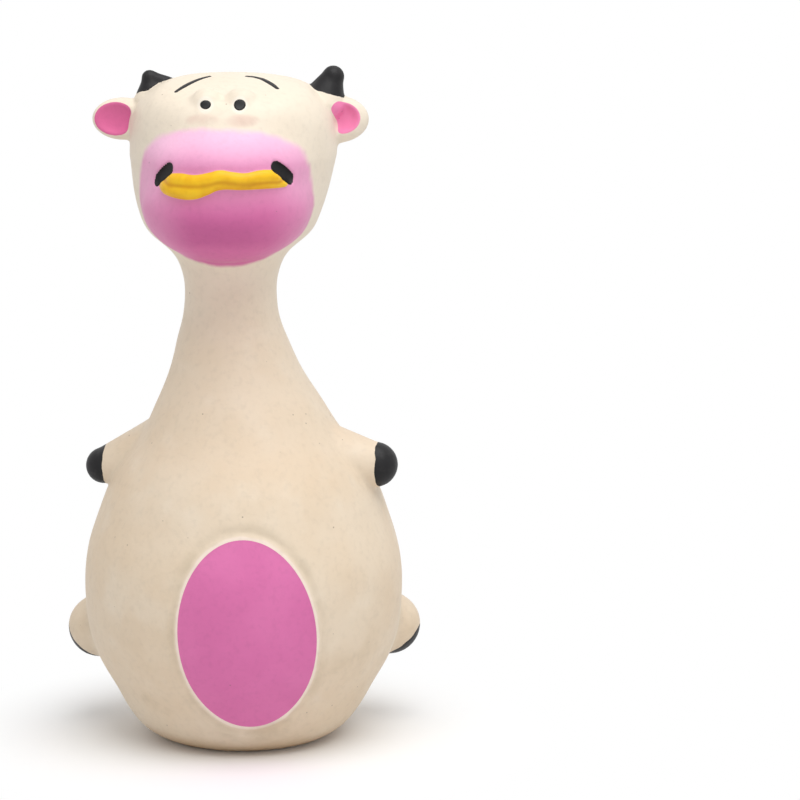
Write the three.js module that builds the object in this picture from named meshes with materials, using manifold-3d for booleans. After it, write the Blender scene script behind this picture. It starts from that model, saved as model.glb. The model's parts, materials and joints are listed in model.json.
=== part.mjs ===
// A squeaky latex dog toy: a cow that sits upright on a flat foot, with a long bending neck.
// The dipped latex skin is hollow. It holds soft filling and, in the foot, a plastic squeaker.
// Millimetres, +Z up. The cow faces -Y, and +X is to the right of someone who looks at its face.
import * as THREE from "three";
import { mergeVertices } from "three/addons/utils/BufferGeometryUtils.js";
import Module from "manifold-3d";

const wasm = await Module();
wasm.setup();

// Left is -X, as the viewer sees it
const SIDES = [["left", -1], ["right", 1]];

// Skin and fits
const SKIN_WALL = 2;
const CLEARANCE = 0.3;
const BEND_CLEARANCE = 0.5;

// Facets
const SKIN_SIDES = 28;
const OUTLINE_STEP = 4.6;
const DOME_STEPS = 6;
const PATCH_SIDES = 40;
const ROUND_SIDES = 16;
const ROUND_RINGS = 9;
const MUZZLE_SIDES = 24;
const MUZZLE_RINGS = 12;
const LIP_STEPS = 14;
const BROW_STEPS = 8;
const BEAD_DIVISIONS = 4;
const HORN_TIP_ANGLES = [0, 30, 60];
const VENT_SIDES = 8;

// Main sizes of the figure, from the floor to its crown
const FIGURE_HEIGHT = 127.5;
const BELLY_RADIUS = 30.7;
const NECK_RADIUS = 8.7;
const HEAD_RADIUS = 19.5;

// Stations of its outline, as shares of the height
const HAUNCH_SHARE = 0.07;
const BELLY_SHARE = 0.2275;
const CHEST_SHARE = 0.357;
const SHOULDER_SHARE = 0.494;
const THROAT_SHARE = 0.596;
const NECK_SHARE = 0.6745;
const NAPE_SHARE = 0.7135;
const CHEEK_SHARE = 0.784;
const HEAD_SHARE = 0.8825;

// Radii there, as shares of the main radius nearby
const FOOT_OF_BELLY = 0.512;
const HAUNCH_OF_BELLY = 0.792;
const CHEST_OF_BELLY = 0.888;
const SHOULDER_OF_BELLY = 0.561;
const THROAT_OF_NECK = 1.253;
const NAPE_OF_NECK = 1.08;
const CHEEK_OF_HEAD = 0.851;
const CROWN_SQUARENESS = 2.7;

// Pose of the head
const NECK_LEAN = -2;
const HEAD_TURN = THREE.MathUtils.degToRad(-4);

// Bends of the neck: where the skin parts, and how far above that its turning point lies
const SWAY_BELOW_THROAT = 6;
const SWAY_PIVOT_RISE = 6;
const NOD_BELOW_NECK = 2.5;
const NOD_PIVOT_RISE = 5;
const MEETING_TOLERANCE = 1e-4;

// Pressed oval of the belly
const PATCH_WIDTH = 25.8;
const PATCH_HEIGHT = 36.8;
const PATCH_BELOW_BELLY = 3.6;
const PATCH_SHIFT = 0.5;

// Limbs: half lengths and half thicknesses of stubby rounded arms and legs
// A hoof caps the end of an arm. On a leg it faces further back and down.
const ARM_ABOVE_CHEST = 7;
const ARM_HALF_LENGTH = 7.6;
const ARM_HALF_THICKNESS = 5.4;
const ARM_HOOF_LENGTH = 3.8;
const ARM_DROOP = { left: THREE.MathUtils.degToRad(16), right: THREE.MathUtils.degToRad(8) };
const ARM_SWEEP = { left: THREE.MathUtils.degToRad(12), right: THREE.MathUtils.degToRad(-14) };
const LEG_BELOW_BELLY = 9.3;
const LEG_HALF_LENGTH = 7.7;
const LEG_HALF_THICKNESS = 6.4;
const LEG_HOOF_LENGTH = 3.6;
const LEG_HOOF_BACK = 0.5;
const LEG_HOOF_DOWN = 0.6;
const LEG_DROOP = THREE.MathUtils.degToRad(8);
const LEG_SWEEP = THREE.MathUtils.degToRad(20);

// Muzzle: an upper nose lobe and a larger chin lobe, with the mouth between them
const MUZZLE_FORWARD = 12.7;
const MUZZLE_DEPTH = 12.9;
const MOUTH_BELOW_HEAD = 2.9;
const NOSE_HALF_WIDTH = 14.7;
const NOSE_HALF_HEIGHT = 7;
const NOSE_ABOVE_MOUTH = 2.2;
const CHIN_HALF_WIDTH = 15.5;
const CHIN_HALF_HEIGHT = 10.4;
const CHIN_BELOW_MOUTH = 5.7;
const NOSTRIL_SPACING = 22.2;
const NOSTRIL_ABOVE_MOUTH = 1.3;
const NOSTRIL_LENGTH = 5;
const NOSTRIL_WIDTH = 2;
const NOSTRIL_DEPTH = 1.3;
const NOSTRIL_PLUG = 0.7;
const NOSTRIL_TILT = THREE.MathUtils.degToRad(47);
const NOSTRIL_FACING = THREE.MathUtils.degToRad(40);

// Lips: two wavy beads, as places to the side of the mouth's middle and above it
const UPPER_LIP_RADIUS = 1.3;
const LOWER_LIP_RADIUS = 1;
const UPPER_LIP = [
  [-10.2, 0.1], [-7.5, 0.35], [-4.6, 0.2], [-1.9, 0.7], [0.3, 1.25],
  [2.3, 1], [4.8, 0.75], [7.2, 1.1], [10.3, 1.1],
];
const LOWER_LIP = [
  [-11, -0.9], [-7.6, -1.6], [-4.7, -1.55], [-2.2, -0.8], [0.2, -0.2],
  [3.7, -0.4], [7.1, -0.5], [11.4, -0.6],
];

// Eyes and brows, painted on the forehead
const EYE_SPACING = 6.3;
const EYE_BELOW_CROWN = 4.3;
const PUPIL_RADIUS = 1.1;
const PUPIL_HEIGHT = 1;
const BROW_RADIUS = 0.75;
const BROW_LINE = [[3.5, -2.1], [5, -3.2], [6.5, -4.8], [8.1, -7.2], [9.4, -9.2]];

// Ears and horns at the upper corners of the head
const EAR_OUT = 1.5;
const EAR_BELOW_CROWN = 8.5;
const EAR_HALF_LENGTH = { left: 5.8, right: 6.3 };
const EAR_HALF_HEIGHT = { left: 4, right: 4.5 };
const EAR_HALF_THICKNESS = 2.9;
const EAR_DROOP = THREE.MathUtils.degToRad(6);
const EAR_RIM = 1;
const EAR_CUP_DEPTH = 1.8;
const EAR_LINING = 0.8;
const HORN_INSET = { left: 2.9, right: -0.4 };
const HORN_BASE_BELOW_CROWN = 5.5;
const HORN_RADIUS = { left: 3.6, right: 4.1 };
const HORN_LENGTH = { left: 6.3, right: 7.6 };
const HORN_TIP_RADIUS = { left: 1.2, right: 1.9 };
const HORN_SPLAY = THREE.MathUtils.degToRad(12);

// Filling
const FILLING_BELOW_SHOULDER = 3;
const HEAD_FILLING_ABOVE_NAPE = 5;

// Squeaker: a flanged plastic cup in a recess of the foot, with a reed clamped inside
const CUP_RADIUS = 6;
const CUP_WALL = 1.4;
const CUP_LENGTH = 15;
const FLANGE_WIDTH = 3;
const FLANGE_THICKNESS = 1.2;
const BARB_WIDTH = 1.6;
const BARB_LENGTH = 2.4;
const VENT_COUNT = 6;
const VENT_RADIUS = 0.7;
const VENT_FROM_WALL = 1;
const REED_WIDTH = 3.6;
const REED_THICKNESS = 0.4;
const REED_FREE_LENGTH = 7;
const REED_ROOT = 1.4;
const REED_BELOW_RIM = 2.6;
const BLOCK_CHANNEL_WIDTH = 2.2;
const BLOCK_CHANNEL_DEPTH = 1.8;
const BLOCK_FOOT = 1.2;
const CLIP_LENGTH = 3.2;

// Finishes, from the photograph: colour, roughness and metalness
const FINISHES = {
  cream: { color: "#e7d7c1", roughness: 0.62, metalness: 0 },
  pink: { color: "#d8729f", roughness: 0.6, metalness: 0 },
  yellow: { color: "#c99412", roughness: 0.5, metalness: 0 },
  black: { color: "#2b292b", roughness: 0.55, metalness: 0 },
  filling: { color: "#f1efe9", roughness: 0.95, metalness: 0 },
  plastic: { color: "#f3f1ea", roughness: 0.4, metalness: 0 },
  reed: { color: "#d9d5c6", roughness: 0.35, metalness: 0 },
};

// Stations of the outline
const bellyZ = BELLY_SHARE * FIGURE_HEIGHT;
const chestZ = CHEST_SHARE * FIGURE_HEIGHT;
const shoulderZ = SHOULDER_SHARE * FIGURE_HEIGHT;
const throatZ = THROAT_SHARE * FIGURE_HEIGHT;
const neckZ = NECK_SHARE * FIGURE_HEIGHT;
const napeZ = NAPE_SHARE * FIGURE_HEIGHT;
const headZ = HEAD_SHARE * FIGURE_HEIGHT;
const crownZ = FIGURE_HEIGHT;
const crownRise = crownZ - headZ;
const stations = [
  [0, FOOT_OF_BELLY * BELLY_RADIUS],
  [HAUNCH_SHARE * FIGURE_HEIGHT, HAUNCH_OF_BELLY * BELLY_RADIUS],
  [bellyZ, BELLY_RADIUS],
  [chestZ, CHEST_OF_BELLY * BELLY_RADIUS],
  [shoulderZ, SHOULDER_OF_BELLY * BELLY_RADIUS],
  [throatZ, THROAT_OF_NECK * NECK_RADIUS],
  [neckZ, NECK_RADIUS],
  [napeZ, NAPE_OF_NECK * NECK_RADIUS],
  [CHEEK_SHARE * FIGURE_HEIGHT, CHEEK_OF_HEAD * HEAD_RADIUS],
  [headZ, HEAD_RADIUS],
];
const outline = new THREE.CubicInterpolant(
  stations.map(([z]) => z),
  stations.map(([, radius]) => radius),
  1,
);

// Radius of the figure at a height, under its crown and over it
function radiusAt(z) {
  if (z <= headZ) {
    return outline.evaluate(z)[0];
  }
  const share = Math.min((z - headZ) / crownRise, 1);
  return HEAD_RADIUS * (1 - share ** CROWN_SQUARENESS) ** (1 / CROWN_SQUARENESS);
}

// Front of the head at a place on the face, and top of it at a place on the crown
function faceY(x, z) {
  return -Math.sqrt(Math.max(radiusAt(z) ** 2 - x ** 2, 0));
}

function crownTop(x, y) {
  const share = Math.min(Math.hypot(x, y) / HEAD_RADIUS, 1);
  return headZ + crownRise * (1 - share ** CROWN_SQUARENESS) ** (1 / CROWN_SQUARENESS);
}

// Solids and how they are cut
function solidOf(geometry) {
  const bare = geometry.clone();
  bare.deleteAttribute("normal");
  bare.deleteAttribute("uv");
  const merged = mergeVertices(bare, 1e-5);
  const index = merged.index.array;
  const corners = [];
  for (let i = 0; i < index.length; i += 3) {
    const [a, b, c] = index.slice(i, i + 3);
    if (a !== b && b !== c && c !== a) {
      corners.push(a, b, c);
    }
  }
  return new wasm.Manifold(
    new wasm.Mesh({
      numProp: 3,
      vertProperties: new Float32Array(merged.attributes.position.array),
      triVerts: new Uint32Array(corners),
    }),
  );
}

function geometryOf(solid) {
  const mesh = solid.getMesh();
  const geometry = new THREE.BufferGeometry();
  geometry.setAttribute("position", new THREE.BufferAttribute(mesh.vertProperties, 3));
  geometry.setIndex(new THREE.BufferAttribute(mesh.triVerts, 1));
  geometry.computeVertexNormals();
  return geometry;
}

function piece(group, name, finish, solid) {
  const mesh = new THREE.Mesh(geometryOf(solid), new THREE.MeshStandardMaterial(FINISHES[finish]));
  mesh.name = name;
  group.add(mesh);
  return mesh;
}

// Basic solids
function revolve(points, sides) {
  const profile = points.map(([radius, height]) => new THREE.Vector2(radius, height));
  return new THREE.LatheGeometry(profile, sides).rotateX(Math.PI / 2);
}

function rodShape(radius, bottom, top, sides) {
  return revolve([[0, bottom], [radius, bottom], [radius, top], [0, top]], sides);
}

function rod(radius, bottom, top) {
  return solidOf(rodShape(radius, bottom, top, SKIN_SIDES));
}

function block(low, high) {
  const size = high.map((value, i) => value - low[i]);
  const middle = high.map((value, i) => (value + low[i]) / 2);
  return solidOf(new THREE.BoxGeometry(...size).translate(...middle));
}

function ellipsoid(halves, sides = ROUND_SIDES, rings = ROUND_RINGS) {
  return new THREE.SphereGeometry(1, sides, rings).rotateX(Math.PI / 2).scale(...halves);
}

// Figure as a solid of revolution, grown or shrunk by some amount, between two heights
function outlinePoints(grow, from, to) {
  const steps = Math.ceil((to - from) / OUTLINE_STEP);
  return Array.from({ length: steps + 1 }, (_, i) => {
    const z = from + ((to - from) * i) / steps;
    return [radiusAt(z) + grow, z];
  });
}

function leanAt(z) {
  return NECK_LEAN * THREE.MathUtils.smoothstep(z, shoulderZ, neckZ);
}

// Turned solid that follows the lean of the neck
function turned(points) {
  const geometry = revolve(points, SKIN_SIDES);
  const position = geometry.attributes.position;
  for (let i = 0; i < position.count; i += 1) {
    position.setX(i, position.getX(i) + leanAt(position.getZ(i)));
  }
  return solidOf(geometry);
}

function figure(grow, from, to) {
  return turned([[0, from], ...outlinePoints(grow, from, to), [0, to]]);
}

// Outline of the head in its own upright frame, from a height up to the crown
function headPoints(grow, from) {
  const power = 2 / CROWN_SQUARENESS;
  const dome = Array.from({ length: DOME_STEPS - 1 }, (_, i) => {
    const angle = ((i + 1) / DOME_STEPS) * (Math.PI / 2);
    const radius = (HEAD_RADIUS + grow) * Math.cos(angle) ** power;
    return [radius, headZ + (crownRise + grow) * Math.sin(angle) ** power];
  });
  return [...outlinePoints(grow, from, headZ), ...dome, [0, crownZ + grow]];
}

function head(grow, from) {
  return solidOf(revolve([[0, from], ...headPoints(grow, from)], SKIN_SIDES));
}

// Bends of the neck. The skin above each parting ends on a ball round the bend's turning point, and the skin
// below it ends on a slightly larger ball, so that one turns in the other.
function bendAt(parting, pivotRise) {
  return { parting, z: parting + pivotRise, radius: Math.hypot(radiusAt(parting), pivotRise) };
}

const sway = bendAt(throatZ - SWAY_BELOW_THROAT, SWAY_PIVOT_RISE);
const nod = bendAt(neckZ - NOD_BELOW_NECK, NOD_PIVOT_RISE);

// Height near the parting at which a wall enters such a ball
function meetingHeight(grow, bend, ballRadius) {
  let [low, high] = [bend.parting - 2 * SKIN_WALL, bend.z];
  while (high - low > MEETING_TOLERANCE) {
    const middle = (low + high) / 2;
    if (Math.hypot(radiusAt(middle) + grow, middle - bend.z) > ballRadius) {
      low = middle;
    } else {
      high = middle;
    }
  }
  return (low + high) / 2;
}

// Rounded edge of a skin on the ball of a bend, with its outer and inner ends
function skinEdge(bend, grow) {
  const ballRadius = bend.radius + grow;
  const outer = meetingHeight(0, bend, ballRadius);
  const inner = meetingHeight(-SKIN_WALL, bend, ballRadius);
  const middleRadius = (radiusAt(outer) + radiusAt(inner) - SKIN_WALL) / 2;
  const drop = Math.sqrt(ballRadius ** 2 - middleRadius ** 2);
  return { outer, inner, middle: [middleRadius, bend.z - drop] };
}

const toy = new THREE.Group();
const headGroup = new THREE.Group();
headGroup.position.x = NECK_LEAN;
headGroup.rotation.z = HEAD_TURN;
toy.add(headGroup);

// Skin of the body, with the recess for the squeaker in its foot and the oval window of its belly
const wide = 4 * BELLY_RADIUS;
const flangeBottom = CLEARANCE;
const recessDepth = flangeBottom + FLANGE_THICKNESS + CLEARANCE;
const floorZ = recessDepth + SKIN_WALL;
const flangeRadius = CUP_RADIUS + FLANGE_WIDTH;
const recessRadius = flangeRadius + CLEARANCE;
const holeRadius = CUP_RADIUS + CLEARANCE;

function patchOval(grow) {
  const oval = new THREE.CylinderGeometry(1, 1, wide, PATCH_SIDES);
  oval.scale(PATCH_WIDTH / 2 + grow, 1, PATCH_HEIGHT / 2 + grow);
  return solidOf(oval.translate(PATCH_SHIFT, -wide / 2, bellyZ - PATCH_BELOW_BELLY));
}

const bodyEdge = skinEdge(sway, BEND_CLEARANCE);
const bodySkin = turned([
  [holeRadius, recessDepth],
  [recessRadius, recessDepth],
  [recessRadius, 0],
  ...outlinePoints(0, 0, bodyEdge.outer),
  bodyEdge.middle,
  ...outlinePoints(-SKIN_WALL, floorZ, bodyEdge.inner).reverse(),
  [holeRadius, floorZ],
  [holeRadius, recessDepth],
]);
piece(toy, "body_skin", "cream", bodySkin.subtract(patchOval(CLEARANCE)));
piece(toy, "belly_patch", "pink", bodySkin.intersect(patchOval(0)));

// Skin of the neck, between its two bends
const neckFoot = skinEdge(sway, 0);
const neckTop = skinEdge(nod, BEND_CLEARANCE);
const neckSkin = turned([
  ...outlinePoints(0, neckFoot.outer, neckTop.outer),
  neckTop.middle,
  ...outlinePoints(-SKIN_WALL, neckFoot.inner, neckTop.inner).reverse(),
  neckFoot.middle,
  [radiusAt(neckFoot.outer), neckFoot.outer],
]);
piece(toy, "neck_skin", "cream", neckSkin);

// Limbs, each cut by the body and parted where its black hoof begins
const bodyCut = figure(CLEARANCE, 0, throatZ);

function limb(name, side, sizes) {
  const { sign, height, halfLength, halfThickness, hoofLength, hoofBack, hoofDown, droop, sweep } = sizes;
  const upright = new THREE.Vector3(0, 0, 1);
  const noScale = new THREE.Vector3(1, 1, 1);
  const direction = new THREE.Vector3(
    sign * Math.cos(sweep) * Math.cos(droop),
    Math.sin(sweep) * Math.cos(droop),
    -Math.sin(droop),
  );
  const root = new THREE.Vector3(sign * Math.cos(sweep), Math.sin(sweep), 0);
  root.multiplyScalar(radiusAt(height)).setZ(height);
  const turn = new THREE.Quaternion().setFromUnitVectors(upright, direction);
  const place = new THREE.Matrix4().compose(root, turn, noScale);
  const form = ellipsoid([halfThickness, halfThickness, halfLength]).applyMatrix4(place);
  const stub = solidOf(form).subtract(bodyCut);
  const facing = direction.clone().add(new THREE.Vector3(0, hoofBack, -hoofDown)).normalize();
  const hoofTurn = new THREE.Quaternion().setFromUnitVectors(upright, facing);
  const hoofPlace = new THREE.Matrix4().compose(root, hoofTurn, noScale);
  const along = direction.dot(facing);
  const reach = Math.sqrt((halfLength * along) ** 2 + halfThickness ** 2 * (1 - along ** 2));
  const hoofStart = reach - hoofLength;
  const beyond = (start) => {
    const half = new THREE.BoxGeometry(wide, wide, wide).translate(0, 0, start + wide / 2);
    return solidOf(half.applyMatrix4(hoofPlace));
  };
  piece(toy, `${name}_${side}`, "cream", stub.subtract(beyond(hoofStart)));
  piece(toy, `${name}_hoof_${side}`, "black", stub.intersect(beyond(hoofStart + CLEARANCE)));
}

for (const [side, sign] of SIDES) {
  limb("arm", side, {
    sign,
    height: chestZ + ARM_ABOVE_CHEST,
    halfLength: ARM_HALF_LENGTH,
    halfThickness: ARM_HALF_THICKNESS,
    hoofLength: ARM_HOOF_LENGTH,
    hoofBack: 0,
    hoofDown: 0,
    droop: ARM_DROOP[side],
    sweep: ARM_SWEEP[side],
  });
  limb("leg", side, {
    sign,
    height: bellyZ - LEG_BELOW_BELLY,
    halfLength: LEG_HALF_LENGTH,
    halfThickness: LEG_HALF_THICKNESS,
    hoofLength: LEG_HOOF_LENGTH,
    hoofBack: LEG_HOOF_BACK,
    hoofDown: LEG_HOOF_DOWN,
    droop: LEG_DROOP,
    sweep: LEG_SWEEP,
  });
}

// Skin of the head
const headEdge = skinEdge(nod, 0);
const headSkin = revolve(
  [
    ...headPoints(-SKIN_WALL, headEdge.inner).reverse(),
    headEdge.middle,
    ...headPoints(0, headEdge.outer),
  ],
  SKIN_SIDES,
);
piece(headGroup, "head_skin", "cream", solidOf(headSkin));
const headCut = head(CLEARANCE, napeZ);

// Muzzle, a hollow swelling on the face
const mouthZ = headZ - MOUTH_BELOW_HEAD;
const LOBES = [
  [NOSE_HALF_WIDTH, NOSE_HALF_HEIGHT, mouthZ + NOSE_ABOVE_MOUTH],
  [CHIN_HALF_WIDTH, CHIN_HALF_HEIGHT, mouthZ - CHIN_BELOW_MOUTH],
];

function muzzleForm(grow) {
  const solids = LOBES.map(([halfWidth, halfHeight, z]) => {
    const halves = [halfWidth + grow, MUZZLE_DEPTH + grow, halfHeight + grow];
    return solidOf(ellipsoid(halves, MUZZLE_SIDES, MUZZLE_RINGS).translate(0, -MUZZLE_FORWARD, z));
  });
  return solids[0].add(solids[1]);
}

// Front of the muzzle at a place on it
function muzzleY(x, z) {
  const depths = LOBES.map(([halfWidth, halfHeight, middle]) => {
    const left = 1 - (x / halfWidth) ** 2 - ((z - middle) / halfHeight) ** 2;
    return MUZZLE_DEPTH * Math.sqrt(Math.max(left, 0));
  });
  return -MUZZLE_FORWARD - Math.max(...depths);
}

// Slanted slot of a nostril, as a prism between two depths below the muzzle's surface
const nostrilX = NOSTRIL_SPACING / 2;
const nostrilZ = mouthZ + NOSTRIL_ABOVE_MOUTH;

function nostrilSlot(sign, shrink, front, back) {
  const width = NOSTRIL_WIDTH / 2 - shrink;
  const straight = (NOSTRIL_LENGTH - NOSTRIL_WIDTH) / 2;
  const shape = new THREE.Shape();
  shape.absarc(straight, 0, width, -Math.PI / 2, Math.PI / 2);
  shape.absarc(-straight, 0, width, Math.PI / 2, (3 * Math.PI) / 2);
  const settings = { depth: back - front, curveSegments: BEAD_DIVISIONS, bevelEnabled: false };
  const slot = new THREE.ExtrudeGeometry(shape, settings);
  slot.rotateZ(-sign * NOSTRIL_TILT).rotateX(Math.PI / 2).translate(0, back, 0);
  slot.rotateZ(sign * NOSTRIL_FACING);
  return solidOf(slot.translate(sign * nostrilX, muzzleY(nostrilX, nostrilZ), nostrilZ));
}

let muzzle = muzzleForm(0).subtract(muzzleForm(-SKIN_WALL)).subtract(headCut);
for (const [side, sign] of SIDES) {
  muzzle = muzzle.subtract(nostrilSlot(sign, 0, -wide, NOSTRIL_DEPTH));
  const plugBack = NOSTRIL_DEPTH - CLEARANCE;
  const plug = nostrilSlot(sign, CLEARANCE, plugBack - NOSTRIL_PLUG, plugBack);
  piece(headGroup, `nostril_${side}`, "black", plug);
}
piece(headGroup, "muzzle", "pink", muzzle);

// Lips, two wavy yellow beads laid over the mouth
function lipPath(line) {
  return line.map(([x, rise]) => new THREE.Vector3(x, muzzleY(x, mouthZ + rise), mouthZ + rise));
}

function bead(points, radius, steps) {
  const section = new THREE.Shape().absarc(0, 0, radius, 0, 2 * Math.PI);
  const settings = {
    extrudePath: new THREE.CatmullRomCurve3(points),
    steps,
    curveSegments: BEAD_DIVISIONS,
    bevelEnabled: false,
  };
  return solidOf(new THREE.ExtrudeGeometry(section, settings));
}

const upperLip = bead(lipPath(UPPER_LIP), UPPER_LIP_RADIUS, LIP_STEPS);
const lowerLip = bead(lipPath(LOWER_LIP), LOWER_LIP_RADIUS, LIP_STEPS);
let lips = upperLip.add(lowerLip).subtract(muzzleForm(CLEARANCE)).subtract(headCut);
for (const [, sign] of SIDES) {
  lips = lips.subtract(nostrilSlot(sign, -CLEARANCE, -wide, NOSTRIL_DEPTH));
}
piece(headGroup, "lips", "yellow", lips);

// Eyes and brows on the forehead
const eyeZ = crownZ - EYE_BELOW_CROWN;

function browPath(sign) {
  return BROW_LINE.map(([x, y]) => new THREE.Vector3(sign * x, y, crownTop(x, y)));
}

for (const [side, sign] of SIDES) {
  const x = (sign * EYE_SPACING) / 2;
  const pupil = ellipsoid([PUPIL_RADIUS, PUPIL_HEIGHT, PUPIL_RADIUS]);
  const seated = solidOf(pupil.translate(x, faceY(x, eyeZ), eyeZ)).subtract(headCut);
  piece(headGroup, `pupil_${side}`, "black", seated);
  const brow = bead(browPath(sign), BROW_RADIUS, BROW_STEPS).subtract(headCut);
  piece(headGroup, `brow_${side}`, "black", brow);
}

// Ears, cupped forwards with a painted lining, and horns above them
const earZ = crownZ - EAR_BELOW_CROWN;
const hornZ = crownZ - HORN_BASE_BELOW_CROWN;

function earForm(sign, halves, forward) {
  const form = ellipsoid(halves).translate(0, -forward, 0).rotateY(sign * EAR_DROOP);
  return solidOf(form.translate(sign * (radiusAt(earZ) + EAR_OUT), 0, earZ));
}

function horn(side, sign, grow) {
  const tip = HORN_TIP_RADIUS[side] + grow;
  const shoulder = HORN_LENGTH[side] - HORN_TIP_RADIUS[side];
  const rounded = HORN_TIP_ANGLES.map((degrees) => {
    const angle = THREE.MathUtils.degToRad(degrees);
    return [tip * Math.cos(angle), shoulder + tip * Math.sin(angle)];
  });
  const profile = [[0, 0], [HORN_RADIUS[side] + grow, 0], ...rounded, [0, shoulder + tip]];
  const cone = revolve(profile, ROUND_SIDES).rotateY(sign * HORN_SPLAY);
  return solidOf(cone.translate(sign * (radiusAt(hornZ) - HORN_INSET[side]), 0, hornZ));
}

for (const [side, sign] of SIDES) {
  const earHalves = [EAR_HALF_LENGTH[side], EAR_HALF_THICKNESS, EAR_HALF_HEIGHT[side]];
  const cupHalves = [earHalves[0] - EAR_RIM, earHalves[1], earHalves[2] - EAR_RIM];
  const cupForward = 2 * EAR_HALF_THICKNESS - EAR_CUP_DEPTH;
  const neighbours = headCut.add(horn(side, sign, CLEARANCE));
  const earFlesh = earForm(sign, earHalves, 0);
  const ear = earFlesh.subtract(earForm(sign, cupHalves, cupForward)).subtract(neighbours);
  piece(headGroup, `ear_${side}`, "cream", ear);
  const liningHalves = cupHalves.map((half) => half - CLEARANCE);
  const lining = earForm(sign, liningHalves, cupForward);
  const hollow = earForm(sign, liningHalves, cupForward + EAR_LINING);
  const dish = lining.subtract(hollow).intersect(earFlesh).subtract(neighbours);
  piece(headGroup, `ear_lining_${side}`, "pink", dish);
  piece(headGroup, `horn_${side}`, "black", horn(side, sign, 0).subtract(headCut));
}

// Filling of the body and of the head
const fillingShrink = -SKIN_WALL - CLEARANCE;
const fillingTop = shoulderZ - FILLING_BELOW_SHOULDER;
const cupTop = flangeBottom + FLANGE_THICKNESS + CUP_LENGTH;
const barbRadius = CUP_RADIUS + BARB_WIDTH;
const barbBottom = floorZ + CLEARANCE;
const cupRoom = rod(holeRadius, 0, cupTop + CLEARANCE);
const barbRoom = rod(barbRadius + CLEARANCE, 0, barbBottom + BARB_LENGTH + CLEARANCE);
const bodyFilling = figure(fillingShrink, floorZ + CLEARANCE, fillingTop);
piece(toy, "body_filling", "filling", bodyFilling.subtract(cupRoom).subtract(barbRoom));
piece(headGroup, "head_filling", "filling", head(fillingShrink, napeZ + HEAD_FILLING_ABOVE_NAPE));

// Squeaker cup: flange in the recess, barb inside the skin, and vents through its floor
const squeaker = new THREE.Group();
squeaker.position.z = flangeBottom;
toy.add(squeaker);

const cupBore = CUP_RADIUS - CUP_WALL;
const cupRim = FLANGE_THICKNESS + CUP_LENGTH;
const ventCircle = cupBore - VENT_FROM_WALL - VENT_RADIUS;
const barbStart = barbBottom - flangeBottom;
const cupProfile = [
  [0, 0],
  [flangeRadius, 0],
  [flangeRadius, FLANGE_THICKNESS],
  [CUP_RADIUS, FLANGE_THICKNESS],
  [CUP_RADIUS, barbStart],
  [barbRadius, barbStart],
  [CUP_RADIUS, barbStart + BARB_LENGTH],
  [CUP_RADIUS, cupRim],
  [cupBore, cupRim],
  [cupBore, FLANGE_THICKNESS],
  [0, FLANGE_THICKNESS],
];
let cup = solidOf(revolve(cupProfile, SKIN_SIDES));
for (let i = 0; i < VENT_COUNT; i += 1) {
  const angle = (2 * Math.PI * i) / VENT_COUNT;
  const place = [ventCircle * Math.cos(angle), ventCircle * Math.sin(angle), 0];
  cup = cup.subtract(solidOf(rodShape(VENT_RADIUS, -cupRim, cupRim, VENT_SIDES).translate(...place)));
}
piece(squeaker, "squeaker_cup", "plastic", cup);

// Reed block with its air channel, the reed that hangs over it, and the clip that pins the reed's root
const boreFit = cupBore - CLEARANCE;
const reedPivotZ = cupRim - REED_BELOW_RIM;
const blockBottom = FLANGE_THICKNESS + CLEARANCE;
const reedBack = REED_THICKNESS / 2;
const blockFace = reedBack + CLEARANCE;
const half = BLOCK_CHANNEL_WIDTH / 2;
const reedBlock = rod(boreFit, blockBottom, cupRim)
  .intersect(block([-wide, blockFace, 0], [wide, wide, wide]))
  .subtract(block(
    [-half, 0, blockBottom + BLOCK_FOOT],
    [half, blockFace + BLOCK_CHANNEL_DEPTH, reedPivotZ - REED_ROOT],
  ));
piece(squeaker, "reed_block", "plastic", reedBlock);

const reedHalf = REED_WIDTH / 2;
const reed = block(
  [-reedHalf, -reedBack, reedPivotZ - REED_FREE_LENGTH],
  [reedHalf, reedBack, reedPivotZ + REED_ROOT],
);
piece(squeaker, "reed", "reed", reed);

const reedClip = rod(boreFit, cupRim - CLIP_LENGTH, cupRim)
  .intersect(block([-wide, -wide, 0], [wide, -blockFace, wide]));
piece(squeaker, "reed_clip", "plastic", reedClip);

export default toy;
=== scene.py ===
# %% [markdown]
# # A latex cow that squeaks
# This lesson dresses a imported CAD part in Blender. The part is a dog toy: one hollow skin of natural latex
# in the shape of a sitting cow, painted by hand, stuffed with loose fibre, with a plastic squeaker pressed
# into its foot. The frame comes first. It holds every solid in its place, in metres, and every piece below
# is made in those coordinates, so nothing has to be fitted afterwards.

# %% Frame
import json
import math

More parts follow.
